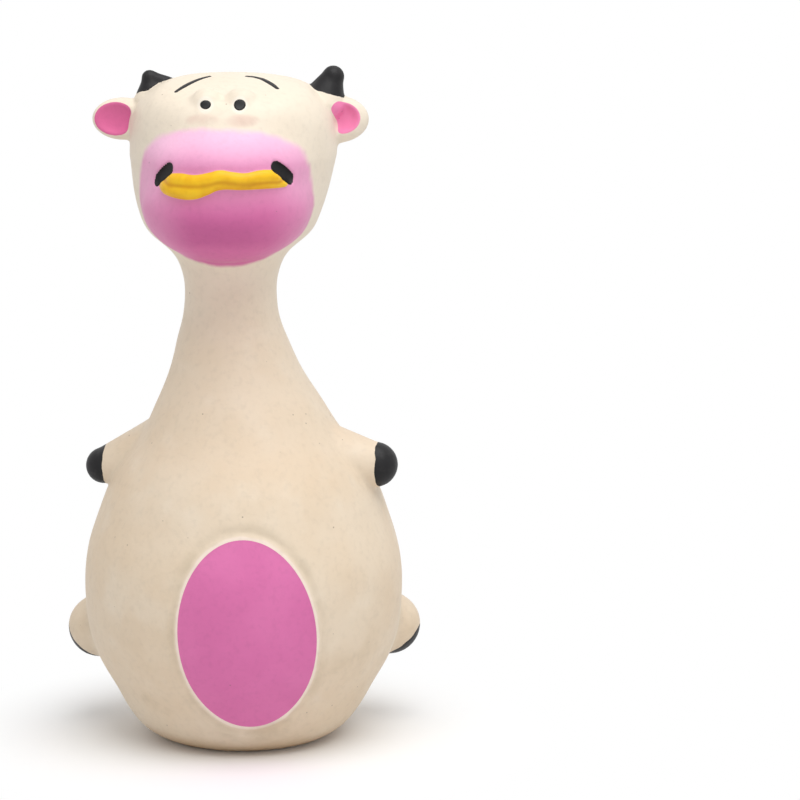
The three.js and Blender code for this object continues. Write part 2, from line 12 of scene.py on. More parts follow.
import bpy
import numpy as np
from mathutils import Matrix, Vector


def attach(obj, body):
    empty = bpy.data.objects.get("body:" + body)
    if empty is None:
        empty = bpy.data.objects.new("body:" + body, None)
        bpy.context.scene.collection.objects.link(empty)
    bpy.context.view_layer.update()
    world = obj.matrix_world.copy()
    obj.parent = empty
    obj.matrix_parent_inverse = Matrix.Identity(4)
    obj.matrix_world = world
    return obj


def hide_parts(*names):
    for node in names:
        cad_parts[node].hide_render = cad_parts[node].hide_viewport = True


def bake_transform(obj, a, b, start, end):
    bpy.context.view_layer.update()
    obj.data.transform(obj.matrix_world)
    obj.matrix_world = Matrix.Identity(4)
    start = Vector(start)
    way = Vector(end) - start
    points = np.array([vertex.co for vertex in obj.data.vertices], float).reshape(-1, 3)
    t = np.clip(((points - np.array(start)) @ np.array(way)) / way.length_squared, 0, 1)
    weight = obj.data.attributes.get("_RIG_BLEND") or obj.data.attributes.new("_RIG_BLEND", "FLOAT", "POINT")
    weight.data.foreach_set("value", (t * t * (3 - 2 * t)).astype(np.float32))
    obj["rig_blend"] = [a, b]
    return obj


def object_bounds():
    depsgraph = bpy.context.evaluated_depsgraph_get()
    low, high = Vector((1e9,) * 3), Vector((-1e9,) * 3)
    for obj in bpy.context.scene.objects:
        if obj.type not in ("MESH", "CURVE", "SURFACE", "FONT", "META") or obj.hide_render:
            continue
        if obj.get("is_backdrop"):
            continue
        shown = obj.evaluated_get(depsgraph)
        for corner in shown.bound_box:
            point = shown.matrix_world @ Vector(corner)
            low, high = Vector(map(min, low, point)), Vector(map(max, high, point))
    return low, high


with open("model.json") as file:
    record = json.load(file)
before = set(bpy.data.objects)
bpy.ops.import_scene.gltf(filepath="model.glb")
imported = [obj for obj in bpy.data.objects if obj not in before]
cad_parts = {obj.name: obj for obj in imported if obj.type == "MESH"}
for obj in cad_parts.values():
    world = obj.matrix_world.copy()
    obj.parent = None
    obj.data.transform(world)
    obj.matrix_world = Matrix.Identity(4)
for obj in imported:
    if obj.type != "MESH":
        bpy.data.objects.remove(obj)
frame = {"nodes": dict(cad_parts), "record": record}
cad_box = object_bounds()
print("solids in the frame:", len(frame["nodes"]))

# %% [markdown]
# ## Arithmetic on sockets
# Node trees are easier to read as formulas. This class wraps a socket, and each operator on it adds the
# Math node that works it out. The same class serves Geometry Nodes and shaders, because both know the same
# Math nodes. That pays off here: the form that shapes the muzzle later tells the paint where it is.


# %% Sockets as values
def set_stops(node, stops):
    """Sets the points of a Float Curve, which stays level past its ends."""
    node.mapping.extend = "HORIZONTAL"
    points = node.mapping.curves[0].points
    for place in stops[2:]:
        points.new(*place)
    for point, place in zip(points, stops):
        point.location = place
    node.mapping.update()


def operator(operation):
    """A method that works out a Math node of this socket and another value."""
    return lambda wire, other: wire.math(operation, wire, other)


class Wire:
    """A node socket that takes part in Python arithmetic."""

    __add__ = __radd__ = operator("ADD")
    __sub__ = operator("SUBTRACT")
    __mul__ = __rmul__ = operator("MULTIPLY")
    __truediv__ = operator("DIVIDE")
    __pow__ = operator("POWER")
    least = operator("MINIMUM")
    most = operator("MAXIMUM")

    def __init__(self, socket):
        self.socket = socket

    def node(self, kind, settings=None, inputs=None, output=0):
        """Any other node of the same tree: its settings first, then the values or links of its sockets."""
        tree = self.socket.id_data
        made = tree.nodes.new(kind)
        for name, value in (settings or {}).items():
            if name == "stops":
                set_stops(made, value)
            else:
                setattr(made, name, value)
        for name, value in (inputs or {}).items():
            if isinstance(value, Wire):
                tree.links.new(value.socket, made.inputs[name])
            else:
                made.inputs[name].default_value = value
        return Wire(made.outputs[output])

    def math(self, operation, *values):
        return self.node("ShaderNodeMath", {"operation": operation}, dict(enumerate(values)))

    def __rsub__(self, other):
        return self.math("SUBTRACT", other, self)

    def __neg__(self):
        return self.math("MULTIPLY", self, -1)

    def __abs__(self):
        return self.math("ABSOLUTE", self)

    def vector(self, operation, other=(0, 0, 0), output=0):
        return self.node("ShaderNodeVectorMath", {"operation": operation}, {0: self, 1: other}, output)

    def times(self, factor):
        return self.node("ShaderNodeVectorMath", {"operation": "SCALE"}, {0: self, "Scale": factor})

    def length(self):
        return self.vector("LENGTH", output="Value")

    def split(self):
        first = self.node("ShaderNodeSeparateXYZ", None, {0: self})
        return [Wire(socket) for socket in first.socket.node.outputs]

    def step(self, low, high):
        """0 below low, 1 above high, and smooth between them."""
        places = {"From Min": low, "From Max": high}
        return self.node("ShaderNodeMapRange", {"interpolation_type": "SMOOTHSTEP"}, {0: self, **places})

    def curve(self, stops):
        return self.node("ShaderNodeFloatCurve", {"stops": stops}, {"Value": self})

    def noise(self, size, detail=1.0):
        """Soft noise about 0, from -0.5 to 0.5, with lumps of that size."""
        sizes = {"Vector": self, "Scale": 1 / size, "Detail": detail}
        return self.node("ShaderNodeTexNoise", None, sizes) - 0.5

    def mix(self, low, high):
        """A colour between two, by this value."""
        return self.node("ShaderNodeMix", {"data_type": "RGBA"}, {0: self, 6: low, 7: high}, 2)


print("ready: formulas on sockets")

# %% [markdown]
# ## Forms as distance fields
# Latex toys are dipped on a mould, so every edge is a soft fillet. Modelling that from boxes and bevels is
# slow, and a sculpt can't be put in a script. A field does it well: a formula that is negative inside the
# form and positive outside. Two fields join with a smooth minimum, which leaves a fillet, and one carves
# another with a smooth maximum. Lengths in fields are millimetres.


# %% Basic forms
def ellipsoid(point, middle, halves):
    scaled = point.vector("SUBTRACT", middle).vector("DIVIDE", halves)
    reach = scaled.length()
    return reach * (reach - 1) / scaled.vector("DIVIDE", halves).length()


def tapered(point, start, end, start_radius, end_radius):
    """A rounded rod from one place to another, with a radius at each end."""
    axis = Vector(end) - Vector(start)
    along = point.vector("SUBTRACT", start)
    share = along.vector("DOT_PRODUCT", axis / axis.length_squared, "Value").most(0).least(1)
    line = share.node("ShaderNodeCombineXYZ", None, {i: share * axis[i] for i in range(3)})
    return along.vector("SUBTRACT", line).length() - (start_radius + share * (end_radius - start_radius))


def joined(field, other, fillet):
    return field.math("SMOOTH_MIN", field, other, fillet)


def carved(field, hollow, fillet):
    return field.math("SMOOTH_MAX", field, -hollow, fillet)


print("ready: ellipsoid, tapered rod, joined and carved forms")

# %% [markdown]
# ## The figure: body, neck and head
# Seen from the front the cow is a bowling pin: one turned form from the flat foot, over the belly and the
# thin neck, to a broad flat-topped head. A Float Curve holds the radius at each height. The crown is a
# superellipse, because a curve of radii can't close a top smoothly. The neck leans a little to one side,
# and the foot is cut off flat and hollowed for the flange of the squeaker.

# %% The turned figure
STATIONS = [
    (0, 15.5), (8.9, 24.1), (29, 30.5), (45.5, 27.1), (63, 17),
    (76, 10.9), (86, 8.7), (91, 9.4), (100, 16.6), (112.5, 19.5),
]
HEAD_Z, HEAD_RADIUS = STATIONS[-1]
BELLY_RADIUS = STATIONS[2][1]
CROWN_Z = 127.5
CROWN_SQUARENESS = 3.2
NECK_LEAN, HEAD_SHIFT = -2.1, 0.8
LEAN_FROM, LEAN_TO = 55, 84
HEAD_SHIFT_FROM, HEAD_SHIFT_TO = 100, 116
FOOT_ROUNDING = 2.4
RECESS_RADIUS, RECESS_DEPTH, RECESS_ROUNDING = 9.3, 1.8, 0.4


def turned_figure(point):
    x, y, z = point.split()
    middle = NECK_LEAN * z.step(LEAN_FROM, LEAN_TO) + HEAD_SHIFT * z.step(HEAD_SHIFT_FROM, HEAD_SHIFT_TO)
    away = ((x - middle) ** 2 + y ** 2) ** 0.5
    stops = [(height / HEAD_Z, radius / BELLY_RADIUS) for height, radius in STATIONS]
    radius = BELLY_RADIUS * (z / HEAD_Z).curve(stops)
    above = (z - HEAD_Z).most(0) / (CROWN_Z - HEAD_Z)
    reach = (away / radius) ** CROWN_SQUARENESS + above ** CROWN_SQUARENESS
    return radius * (reach ** (1 / CROWN_SQUARENESS) - 1)


def flat_foot(point, form):
    x, y, z = point.split()
    away = (x ** 2 + y ** 2) ** 0.5
    standing = carved(form, z, FOOT_ROUNDING)
    return carved(standing, (away - RECESS_RADIUS).most(z - RECESS_DEPTH), RECESS_ROUNDING)


print("outline stations:", len(STATIONS))

# %% [markdown]
# ## Limbs
# Four stubs stand out at the sides: two short arms that hang a little, and two legs that point outwards and
# back. Each is a tapered rod that starts inside the body. Its black hoof is only paint: on an arm it caps
# the end, and on a leg it lies mostly underneath, so the front shows only its rim. A hoof is therefore
# where the rod has run far enough in the hoof's own direction. A little noise on that line gives it the
# wavering edge of a brush.

# %% Arms and legs
SIDES = {"left": -1, "right": 1}
LIMBS = {
    "arm_left": {"height": 53.4, "root": 20.6, "reach": 7.0, "radii": (6.9, 3.5), "droop": 14, "sweep": 12},
    "arm_right": {"height": 54.0, "root": 20.6, "reach": 5.3, "radii": (7.2, 4.3), "droop": 3, "sweep": -14},
    "leg_left": {"height": 19.5, "root": 25.6, "reach": 4.6, "radii": (7.9, 6.0), "droop": 8, "sweep": 20},
    "leg_right": {"height": 19.4, "root": 25.6, "reach": 4.8, "radii": (7.8, 6.0), "droop": 8, "sweep": 20},
}
LIMB_FILLETS = {"arm": 1.0, "leg": 5.0}
HOOVES = {
    "arm_left": {"from": -0.5, "back": 0.0, "down": -0.25},
    "arm_right": {"from": 0.7, "back": 0.0, "down": -0.1},
    "leg_left": {"from": 2.1, "back": 0.8, "down": 1.1},
    "leg_right": {"from": 3.4, "back": -0.1, "down": 1.1},
}
LIMB_ROOT_DEPTH = 4
HOOF_FROM_BODY, HOOF_EDGE = 0.6, 0.5
BRUSH_WAVER, BRUSH_SIZE = 0.9, 2.2


def limb(point, name):
    """The field of a limb, and how far past the start of its hoof a place is."""
    sizes, hoof = LIMBS[name], HOOVES[name]
    sign = SIDES[name.split("_")[1]]
    turn, droop = math.radians(sizes["sweep"]), math.radians(sizes["droop"])
    outward = Vector((sign * math.cos(turn), math.sin(turn), 0))
    axis = outward * math.cos(droop) - Vector((0, 0, math.sin(droop)))
    root = outward * sizes["root"] + Vector((0, 0, sizes["height"]))
    end = root + axis * sizes["reach"]
    form = tapered(point, root - axis * LIMB_ROOT_DEPTH, end, *sizes["radii"])
    facing = (axis + Vector((0, hoof["back"], -hoof["down"]))).normalized()
    past = point.vector("SUBTRACT", end).vector("DOT_PRODUCT", facing, "Value")
    return form, past - hoof["from"] + BRUSH_WAVER * point.noise(BRUSH_SIZE)


print("limbs:", len(LIMBS))

# %% [markdown]
# ## Face
# The head is turned a little to its right, so the face gets its own frame: the point is turned back before
# the formulas read it. The muzzle is two ellipsoids, a nose lobe over a larger chin lobe, with a soft
# crease between them. The lips are two beads that lie on it. A bead is everything near a wavy line on the
# front of the skin, so the skin's field is one of its two coordinates and it hugs the swelling by itself. A
# nostril is a short rod laid along the side of the muzzle, which the skin is carved with.

# %% Muzzle, lips and nostrils
HEAD_TURN = math.radians(-4)
MUZZLE_FILLET, CREASE_FILLET = 5.0, 5.5
NOSE = {"middle": (0.5, -12.8, 111.7), "halves": (13.7, 12.8, 6.9)}
CHIN = {"middle": (0.2, -12.6, 103.9), "halves": (15.4, 13.0, 10.3)}
MOUTH_Z = 109.6
LIP_RISE = 3.0
UPPER_LIP = [
    (-10.2, 0.1, 1.1), (-7.5, 0.35, 1.3), (-4.6, 0.2, 1.3), (-1.9, 0.7, 1.3), (0.3, 1.25, 1.2),
    (2.3, 1.0, 1.15), (4.8, 0.75, 1.15), (7.2, 1.1, 1.2), (9.6, 1.1, 1.1), (11.2, 0.8, 1.0),
]
LOWER_LIP = [
    (-11.4, -0.8, 1.0), (-7.6, -1.45, 1.4), (-4.7, -1.4, 1.4), (-2.2, -0.75, 1.2), (0.2, -0.05, 0.95),
    (3.7, -0.15, 0.85), (7.1, -0.25, 0.75), (10.0, -0.35, 0.65), (12.0, -0.5, 0.45),
]
LIP_FILLET, LIP_GROOVE_FILLET, LIP_FLATNESS = 0.6, 1.3, 1.25
NOSTRILS = {
    "left": ((-10.0, -21.5, 111.9), (-12.3, -18.7, 109.5)),
    "right": ((10.5, -21.9, 112.3), (12.8, -19.1, 109.9)),
}
NOSTRIL_RADII, NOSTRIL_FILLET = (1.4, 1.2), 0.3


def in_head(point):
    """A place in the upright frame of the face."""
    centre = (NECK_LEAN, 0, 0)
    turns = {"Vector": point, "Center": centre, "Angle": -HEAD_TURN}
    turned = point.node("ShaderNodeVectorRotate", {"rotation_type": "Z_AXIS"}, turns)
    return turned.vector("SUBTRACT", centre)


def muzzle_form(face):
    return joined(ellipsoid(face, **NOSE), ellipsoid(face, **CHIN), CREASE_FILLET)


def lip(face, surface, line):
    """A bead on the muzzle along a line: places to the side, heights over the mouth, and radii."""
    x, _, z = face.split()
    first, last = line[0][0], line[-1][0]
    share = (x - first) / (last - first)
    places = [(side - first) / (last - first) for side, _, _ in line]
    rise = share.curve([(place, 0.5 + height / LIP_RISE / 2) for place, (_, height, _) in zip(places, line)])
    radius = LIP_RISE * share.curve([(place, size / LIP_RISE) for place, (_, _, size) in zip(places, line)])
    past = (first + line[0][2] - x).most(x - last + line[-1][2]).most(0)
    above = z - MOUTH_Z - LIP_RISE * (rise * 2 - 1)
    return (above ** 2 + (surface * LIP_FLATNESS) ** 2 + past ** 2) ** 0.5 - radius


print("places along the lips:", len(UPPER_LIP) + len(LOWER_LIP))

# %% [markdown]
# ## Ears and horns
# The ears are flat cups beside the crown. A second ellipsoid carves the cup, and the same ellipsoid, grown
# a little, marks where the pink lining is painted. The horns are blunt nubs like fins: upright outside,
# with a crest that slopes down inside, painted black down to a ragged line near their base. The two sides
# of this moulding differ, so each side has its own sizes.

# %% Ears and horns
EARS = {
    "left": {"middle": (-20.1, 0.5, 119.0), "halves": (5.8, 2.9, 4.0)},
    "right": {"middle": (20.0, 0.5, 119.0), "halves": (6.3, 3.0, 4.5)},
}
EAR_CUPS = {
    "left": {"middle": (-22.1, -2.0, 119.2), "halves": (4.1, 1.7, 3.2)},
    "right": {"middle": (21.4, -2.4, 119.5), "halves": (3.3, 2.2, 2.8)},
}
EAR_FILLET, EAR_CUP_FILLET = 1.6, 0.7
HORNS = {
    "left": {"base": (-14.6, 0.5, 123.2), "tip": (-15.0, 0.5, 126.7), "radii": (3.4, 1.3)},
    "right": {"base": (17.9, 0.5, 122.6), "tip": (19.6, 0.5, 127.0), "radii": (4.3, 1.9)},
}
HORN_CRESTS = {"left": (-11.6, 0.5, 125.8), "right": (16.4, 0.5, 124.6)}
HORN_CREST_RADIUS, HORN_CREST_FILLET = 1.2, 1.2
HORN_PAINT_FROM = {"left": 124.6, "right": 124.3}
HORN_PAINT_SLOPE = {"left": 0.25, "right": 0.3}
HORN_FILLET, HORN_PAINT_EDGE = 0.7, 0.15


def ear(face, side):
    """The fields of an ear and of the hollow in it."""
    hollow = ellipsoid(face, **EAR_CUPS[side])
    return carved(ellipsoid(face, **EARS[side]), hollow, EAR_CUP_FILLET), hollow


def horn(face, side):
    """The field of a horn, and how far above its paint line a place is."""
    sizes = HORNS[side]
    x, _, z = face.split()
    outward = abs(x) - abs(sizes["base"][0])
    nub = tapered(face, sizes["base"], sizes["tip"], *sizes["radii"])
    crest = tapered(face, sizes["tip"], HORN_CRESTS[side], sizes["radii"][1], HORN_CREST_RADIUS)
    raised = z + HORN_PAINT_SLOPE[side] * outward - HORN_PAINT_FROM[side]
    return joined(nub, crest, HORN_CREST_FILLET), raised


print("ears and horns:", len(EARS) + len(HORNS))

# %% [markdown]
# ## Belly oval, forehead and eyes
# Three smaller forms have a formula each. The oval of the belly leans a little, so its middle shifts with
# the height. The crown slopes back above the eyes, which is a plane that carves the head. The eyes are low
# mounds: balls sunk under the forehead, so that only the fillet round them swells it.

# %% Belly oval, forehead and eyes
PATCH_MIDDLE_Z, PATCH_HALF_WIDTH, PATCH_HALF_HEIGHT = 25.4, 12.9, 18.4
PATCH_SHIFT, PATCH_SLANT = 0.5, 0.7
FOREHEAD_Y, FOREHEAD_Z, FOREHEAD_FILLET = -4.0, 127.3, 3.0
FOREHEAD_SLOPE = math.radians(18)
EYE_X, EYE_Z = 3.15, 123.2
EYE_MOUND, EYE_MOUND_SUNK, EYE_FILLET = 2.9, 0.7, 1.8


def head_front(x, z):
    """Front of the head at a place on the forehead."""
    share = (z - HEAD_Z) / (CROWN_Z - HEAD_Z)
    radius = HEAD_RADIUS * (1 - share ** CROWN_SQUARENESS) ** (1 / CROWN_SQUARENESS)
    return -math.sqrt(radius ** 2 - x ** 2)


def belly_oval(point):
    """Distance inside the painted oval of the belly."""
    x, y, z = point.split()
    up = (z - PATCH_MIDDLE_Z) / PATCH_HALF_HEIGHT
    across = (x - PATCH_SHIFT + PATCH_SLANT * up) / PATCH_HALF_WIDTH
    inside = (1 - (across ** 2 + up ** 2) ** 0.5) * PATCH_HALF_WIDTH
    return inside.least(-y)


def sloped(face, form):
    """The form with a forehead that slopes back from above the eyes."""
    _, y, z = face.split()
    slope = (z - FOREHEAD_Z) * math.cos(FOREHEAD_SLOPE) - (y - FOREHEAD_Y) * math.sin(FOREHEAD_SLOPE)
    return carved(form, -slope, FOREHEAD_FILLET)


def eye_mound(face, side):
    middle = (SIDES[side] * EYE_X, head_front(EYE_X, EYE_Z) + EYE_MOUND + EYE_MOUND_SUNK, EYE_Z)
    return ellipsoid(face, middle, (EYE_MOUND, EYE_MOUND, EYE_MOUND))


print("front of the head at the eyes:", round(head_front(EYE_X, EYE_Z), 1), "mm")

# %% [markdown]
# ## One skin
# Now the forms join into one field, with the fillets that the dipping leaves. Slow noise keeps the surface
# from looking turned on a lathe. Each painted area is a second field, positive inside its paint, and goes
# along as a named attribute. Later the mesh is cut along the zero of these fields, so paint lines run where
# they should and not along the edges of triangles.

# %% Skin and paint fields
HAND_WAVE, HAND_WAVE_SIZE = 0.5, 14
GROOVE_DEPTH, GROOVE_WIDTH, GROOVE_AWAY = 0.35, 0.5, 1.05
PATCH_INSET, PATCH_INSET_EDGE = 0.25, (-0.4, 0.2)
LIP_PAINT, NOSTRIL_PAINT, LINING_PAINT = 0.12, 0.02, 0.35
LINING_FROM_HEAD, LINING_CORNER = 0.3, 1.6
RAGGED, RAGGED_SIZE = 0.7, 1.3


def skin_fields(point):
    """The field of the whole skin, and the fields of its paint by their names."""
    face = in_head(point)
    paint = {}
    head = sloped(face, turned_figure(point) + HAND_WAVE * point.noise(HAND_WAVE_SIZE))
    body = head
    for name in LIMBS:
        form, past = limb(point, name)
        body = joined(body, form, LIMB_FILLETS[name.split("_")[0]])
        paint[name.replace("_", "_hoof_")] = past.least(HOOF_EDGE - form).least(head - HOOF_FROM_BODY)
    muzzle = muzzle_form(face)
    skin = joined(body, muzzle, MUZZLE_FILLET)
    paint["muzzle"] = body - muzzle
    front = skin.most(face.split()[1])
    lips = joined(lip(face, front, UPPER_LIP), lip(face, front, LOWER_LIP), LIP_GROOVE_FILLET)
    skin = joined(skin, lips, LIP_FILLET)
    paint["lips"] = LIP_PAINT - lips
    ragged = RAGGED * point.noise(RAGGED_SIZE)
    for side in SIDES:
        slot = tapered(face, *NOSTRILS[side], *NOSTRIL_RADII)
        skin = carved(skin, slot, NOSTRIL_FILLET)
        paint[f"nostril_{side}"] = NOSTRIL_PAINT - slot
        ear_form, hollow = ear(face, side)
        paint[f"ear_{side}"] = head - ear_form
        paint[f"ear_lining_{side}"] = joined(LINING_PAINT - hollow, head - LINING_FROM_HEAD, LINING_CORNER)
        skin = joined(skin, ear_form, EAR_FILLET)
        horn_form, raised = horn(face, side)
        skin = joined(skin, horn_form, HORN_FILLET)
        paint[f"horn_{side}"] = (raised + ragged).least(HORN_PAINT_EDGE - horn_form)
        skin = joined(skin, eye_mound(face, side), EYE_FILLET)
    paint["belly_patch"] = belly_oval(point)
    groove = ((paint["belly_patch"] + GROOVE_AWAY) / GROOVE_WIDTH) ** 2
    inset = PATCH_INSET * paint["belly_patch"].step(*PATCH_INSET_EDGE)
    skin = skin + GROOVE_DEPTH * groove.math("EXPONENT", -groove) + inset
    return flat_foot(point, skin), paint


print("ready: skin and paint fields")

# %% [markdown]
# ## From field to mesh
# Geometry Nodes turns a field into a mesh: Volume Cube samples it on a grid, Volume to Mesh draws the
# surface where it passes zero, and Store Named Attribute keeps the paint fields on the points. The grid's
# corners, its voxel size and a material are named inputs of the tree.

# %% Field tree
MM = 0.001


def field_tree(name, build):
    tree = bpy.data.node_groups.new(name, "GeometryNodeTree")
    tree.interface.new_socket("Geometry", in_out="OUTPUT", socket_type="NodeSocketGeometry")
    kinds = {"Low": "Vector", "High": "Vector", "Voxel": "Float", "Material": "Material"}
    for label, kind in kinds.items():
        tree.interface.new_socket(label, in_out="INPUT", socket_type=f"NodeSocket{kind}")
    given = {socket.name: Wire(socket) for socket in tree.nodes.new("NodeGroupInput").outputs if socket.name}
    place = given["Voxel"].node("GeometryNodeInputPosition")
    form, paint = build(place.times(1 / MM))
    cells = [axis / given["Voxel"] for axis in given["High"].vector("SUBTRACT", given["Low"]).split()]
    grid = {"Density": -form, "Background": -1.0, "Min": given["Low"], "Max": given["High"]}
    counts = {f"Resolution {axis}": cell for axis, cell in zip("XYZ", cells)}
    volume = place.node("GeometryNodeVolumeCube", None, {**grid, **counts})
    mesh = place.node("GeometryNodeVolumeToMesh", None, {0: volume, "Threshold": 0.0})
    for label, field in paint.items():
        stored = {"Geometry": mesh, "Name": label, "Value": field}
        mesh = place.node("GeometryNodeStoreNamedAttribute", {"data_type": "FLOAT"}, stored)
    whole = place.node("GeometryNodeRealizeInstances", None, {0: mesh})
    coated = place.node("GeometryNodeSetMaterial", None, {"Geometry": whole, "Material": given["Material"]})
    tree.links.new(coated.socket, tree.nodes.new("NodeGroupOutput").inputs[0])
    return tree


print("ready: trees from fields")

# %% [markdown]
# ## Reading the mesh back
# An object with an empty mesh carries the tree as a modifier, with its inputs set by their identifiers. The
# evaluated result is turned into a plain mesh and read as arrays, because the next step cuts it along its
# paint. The body and the head are two meshes that overlap at a seam of the neck, so that the small forms of
# the face get a finer grid.


# %% Mesh as arrays
def values_of(items, field, width=1, kind=float):
    """One field of many items of a mesh, as an array."""
    values = np.empty(len(items) * width, kind)
    items.foreach_get(field, values)
    return values.reshape(-1, width) if width > 1 else values


def read_points(mesh, layers):
    """A mesh as arrays: points in metres, their normals, the named layers, and triangles."""
    mesh.calc_loop_triangles()
    data = {"point": values_of(mesh.vertices, "co", 3), "normal": values_of(mesh.vertex_normals, "vector", 3)}
    for name in layers:
        data[name] = values_of(mesh.attributes[name].data, "value")
    return data, values_of(mesh.loop_triangles, "vertices", 3, int)


def grown(name, build, low, high, voxel):
    """The mesh of a field between two corners, all in millimetres, as arrays."""
    tree = field_tree(name, build)
    carrier = bpy.data.objects.new(name, bpy.data.meshes.new(name))
    bpy.context.scene.collection.objects.link(carrier)
    modifier = carrier.modifiers.new("form", "NODES")
    modifier.node_group = tree
    identifiers = {item.name: item.identifier for item in tree.interface.items_tree if item.in_out == "INPUT"}
    modifier[identifiers["Low"]] = [value * MM for value in low]
    modifier[identifiers["High"]] = [value * MM for value in high]
    modifier[identifiers["Voxel"]] = voxel * MM
    graph = bpy.context.evaluated_depsgraph_get()
    mesh = bpy.data.meshes.new_from_object(carrier.evaluated_get(graph))
    on_points = [layer for layer in mesh.attributes if layer.domain == "POINT"]
    layers = [layer.name for layer in on_points if layer.data_type == "FLOAT"]
    arrays = read_points(mesh, layers)
    bpy.data.objects.remove(carrier)
    bpy.data.meshes.remove(mesh)
    print(name, "has", len(arrays[1]), "triangles")
    return arrays


BODY_VOXEL, HEAD_VOXEL = 0.5, 0.33
HEAD_SEAM, OVERLAP = 82.5, 1.0
BODY_GRID = (-36, -33, -1), (36, 33, HEAD_SEAM + OVERLAP)
HEAD_GRID = (-32, -30, HEAD_SEAM - OVERLAP), (27, 22, 132)
body_skin = grown("body_form", skin_fields, *BODY_GRID, BODY_VOXEL)
head_skin = grown("head_form", skin_fields, *HEAD_GRID, HEAD_VOXEL)

# %% [markdown]
# ## Cutting along paint lines
# A painted edge should cut straight through triangles. This helper finds the triangles that a line crosses,
# puts a new point on each crossed edge where the field is zero, and shares the triangles out between the
# two sides. Both sides get the same points and the same normals there, so the skin still looks whole across
# a cut.


# %% Cutter
def only_used(data, faces):
    used, index = np.unique(faces, return_inverse=True)
    return {name: values[used] for name, values in data.items()}, index.reshape(-1, 3)


def cut(skin, line):
    """The part of a skin where a field is positive, and the rest of it."""
    data, faces = skin
    values = data[line] if isinstance(line, str) else line(data)
    inside = values > 0
    count = inside[faces].sum(axis=1)
    crossed = faces[(count == 1) | (count == 2)]
    lone = inside[crossed].sum(axis=1) == 1
    odd = (inside[crossed] == lone[:, None]).argmax(axis=1)
    rows = np.arange(len(crossed))
    a, b, c = (crossed[rows, (odd + turn) % 3] for turn in range(3))
    pairs = np.sort(np.vstack([np.column_stack([a, b]), np.column_stack([a, c])]), axis=1)
    edges, index = np.unique(pairs, axis=0, return_inverse=True)
    low, high = edges.T
    share = values[low] / (values[low] - values[high])
    halfway = {}
    for name, layer in data.items():
        weight = share[:, None] if layer.ndim == 2 else share
        halfway[name] = np.concatenate([layer, layer[low] + weight * (layer[high] - layer[low])])
    ab, ac = (index.ravel() + len(values)).reshape(2, -1)
    tip = np.column_stack([a, ab, ac])
    base = np.vstack([np.column_stack([ab, b, c]), np.column_stack([ab, c, ac])])
    twice = np.concatenate([lone, lone])
    positive = np.vstack([faces[count == 3], tip[lone], base[~twice]])
    negative = np.vstack([faces[count == 0], tip[~lone], base[twice]])
    return only_used(halfway, positive), only_used(halfway, negative)


print("ready: cuts along a field")

# %% [markdown]
# ## Pieces of the skin
# The cuts have an order. On the body the hole for the squeaker comes first, then the paint, then the two
# seams of the neck. On the head, paint that lies on other paint is cut out before it, so the nostrils come
# first and the ears last.

# %% Pieces of the skin
SQUEAKER_HOLE, SQUEAKER_HOLE_TOP = 6.3, 2 * RECESS_DEPTH
NECK_SEAM = 66.0


def above(height):
    return lambda data: data["point"][:, 2] / MM - height


def in_squeaker_hole(data):
    x, y, z = data["point"].T / MM
    return np.minimum(SQUEAKER_HOLE - np.hypot(x, y), SQUEAKER_HOLE_TOP - z)


parts = {}
_, body_skin = cut(body_skin, in_squeaker_hole)
for name in ("arm_hoof_left", "arm_hoof_right", "leg_hoof_left", "leg_hoof_right", "belly_patch"):
    parts[name], body_skin = cut(body_skin, name)
_, body_skin = cut(body_skin, above(HEAD_SEAM))
parts["neck_skin"], parts["body_skin"] = cut(body_skin, above(NECK_SEAM))
head_skin, _ = cut(head_skin, above(HEAD_SEAM))
for name in ("nostril", "lips", "muzzle", "horn", "ear_lining", "ear"):
    for side in [""] if name in ("lips", "muzzle") else ["_left", "_right"]:
        parts[name + side], head_skin = cut(head_skin, name + side)
parts["head_skin"] = head_skin
print({name: len(faces) for name, (_, faces) in parts.items()})

# %% [markdown]
# ## Pupils and brows
# Pupils and brows are drops and strokes of black paint on the forehead. A pupil is an ellipse seen from the
# front. A brow lies on top of the crown, so its stroke is a chain of tapered rods seen from above.

# %% Pupils and brows
PUPIL_HALVES = {"left": (1.02, 0.8), "right": (1.1, 0.98)}
BROW_POINTS = {
    "left": [(-3.5, -2.1), (-5.1, -3.9), (-6.4, -5.7), (-7.8, -7.8), (-9.1, -9.8)],
    "right": [(3.5, -2.0), (4.9, -2.5), (6.5, -3.8), (8.4, -6.6), (9.6, -8.6)],
}
BROW_RADII = (0.4, 0.5, 0.55, 0.55, 0.4)


def pupil_paint(face, side):
    x, _, z = face.split()
    half_width, half_height = PUPIL_HALVES[side]
    across, up = (x - SIDES[side] * EYE_X) / half_width, (z - EYE_Z) / half_height
    return (1 - (across ** 2 + up ** 2) ** 0.5) * half_height


def brow_paint(face, side):
    seen_from_above = face.vector("MULTIPLY", (1, 1, 0))
    places = [(x, y, 0) for x, y in BROW_POINTS[side]]
    stroke = tapered(seen_from_above, *places[:2], *BROW_RADII[:2])
    for i in range(1, len(places) - 1):
        stroke = stroke.least(tapered(seen_from_above, *places[i:i + 2], *BROW_RADII[i:i + 2]))
    return -stroke


print("places along a brow:", len(BROW_RADII))

# %% [markdown]
# ## Paint films
# The paint stands a hair above the forehead. Each film is the same skin field, raised inside the stroke and
# sunk outside it, meshed on a much finer grid and cut at the stroke's edge. So the paint follows the
# forehead exactly and its rim dips into the latex.

# %% Paint films
FILM_HEIGHT, FILM_SLOPE, FILM_VOXEL, FILM_MARGIN = 0.14, 0.6, 0.12, 1.8


def crown_top(x, y):
    """Height of the crown over a place."""
    share = math.hypot(x, y) / HEAD_RADIUS
    return HEAD_Z + (CROWN_Z - HEAD_Z) * (1 - share ** CROWN_SQUARENESS) ** (1 / CROWN_SQUARENESS)


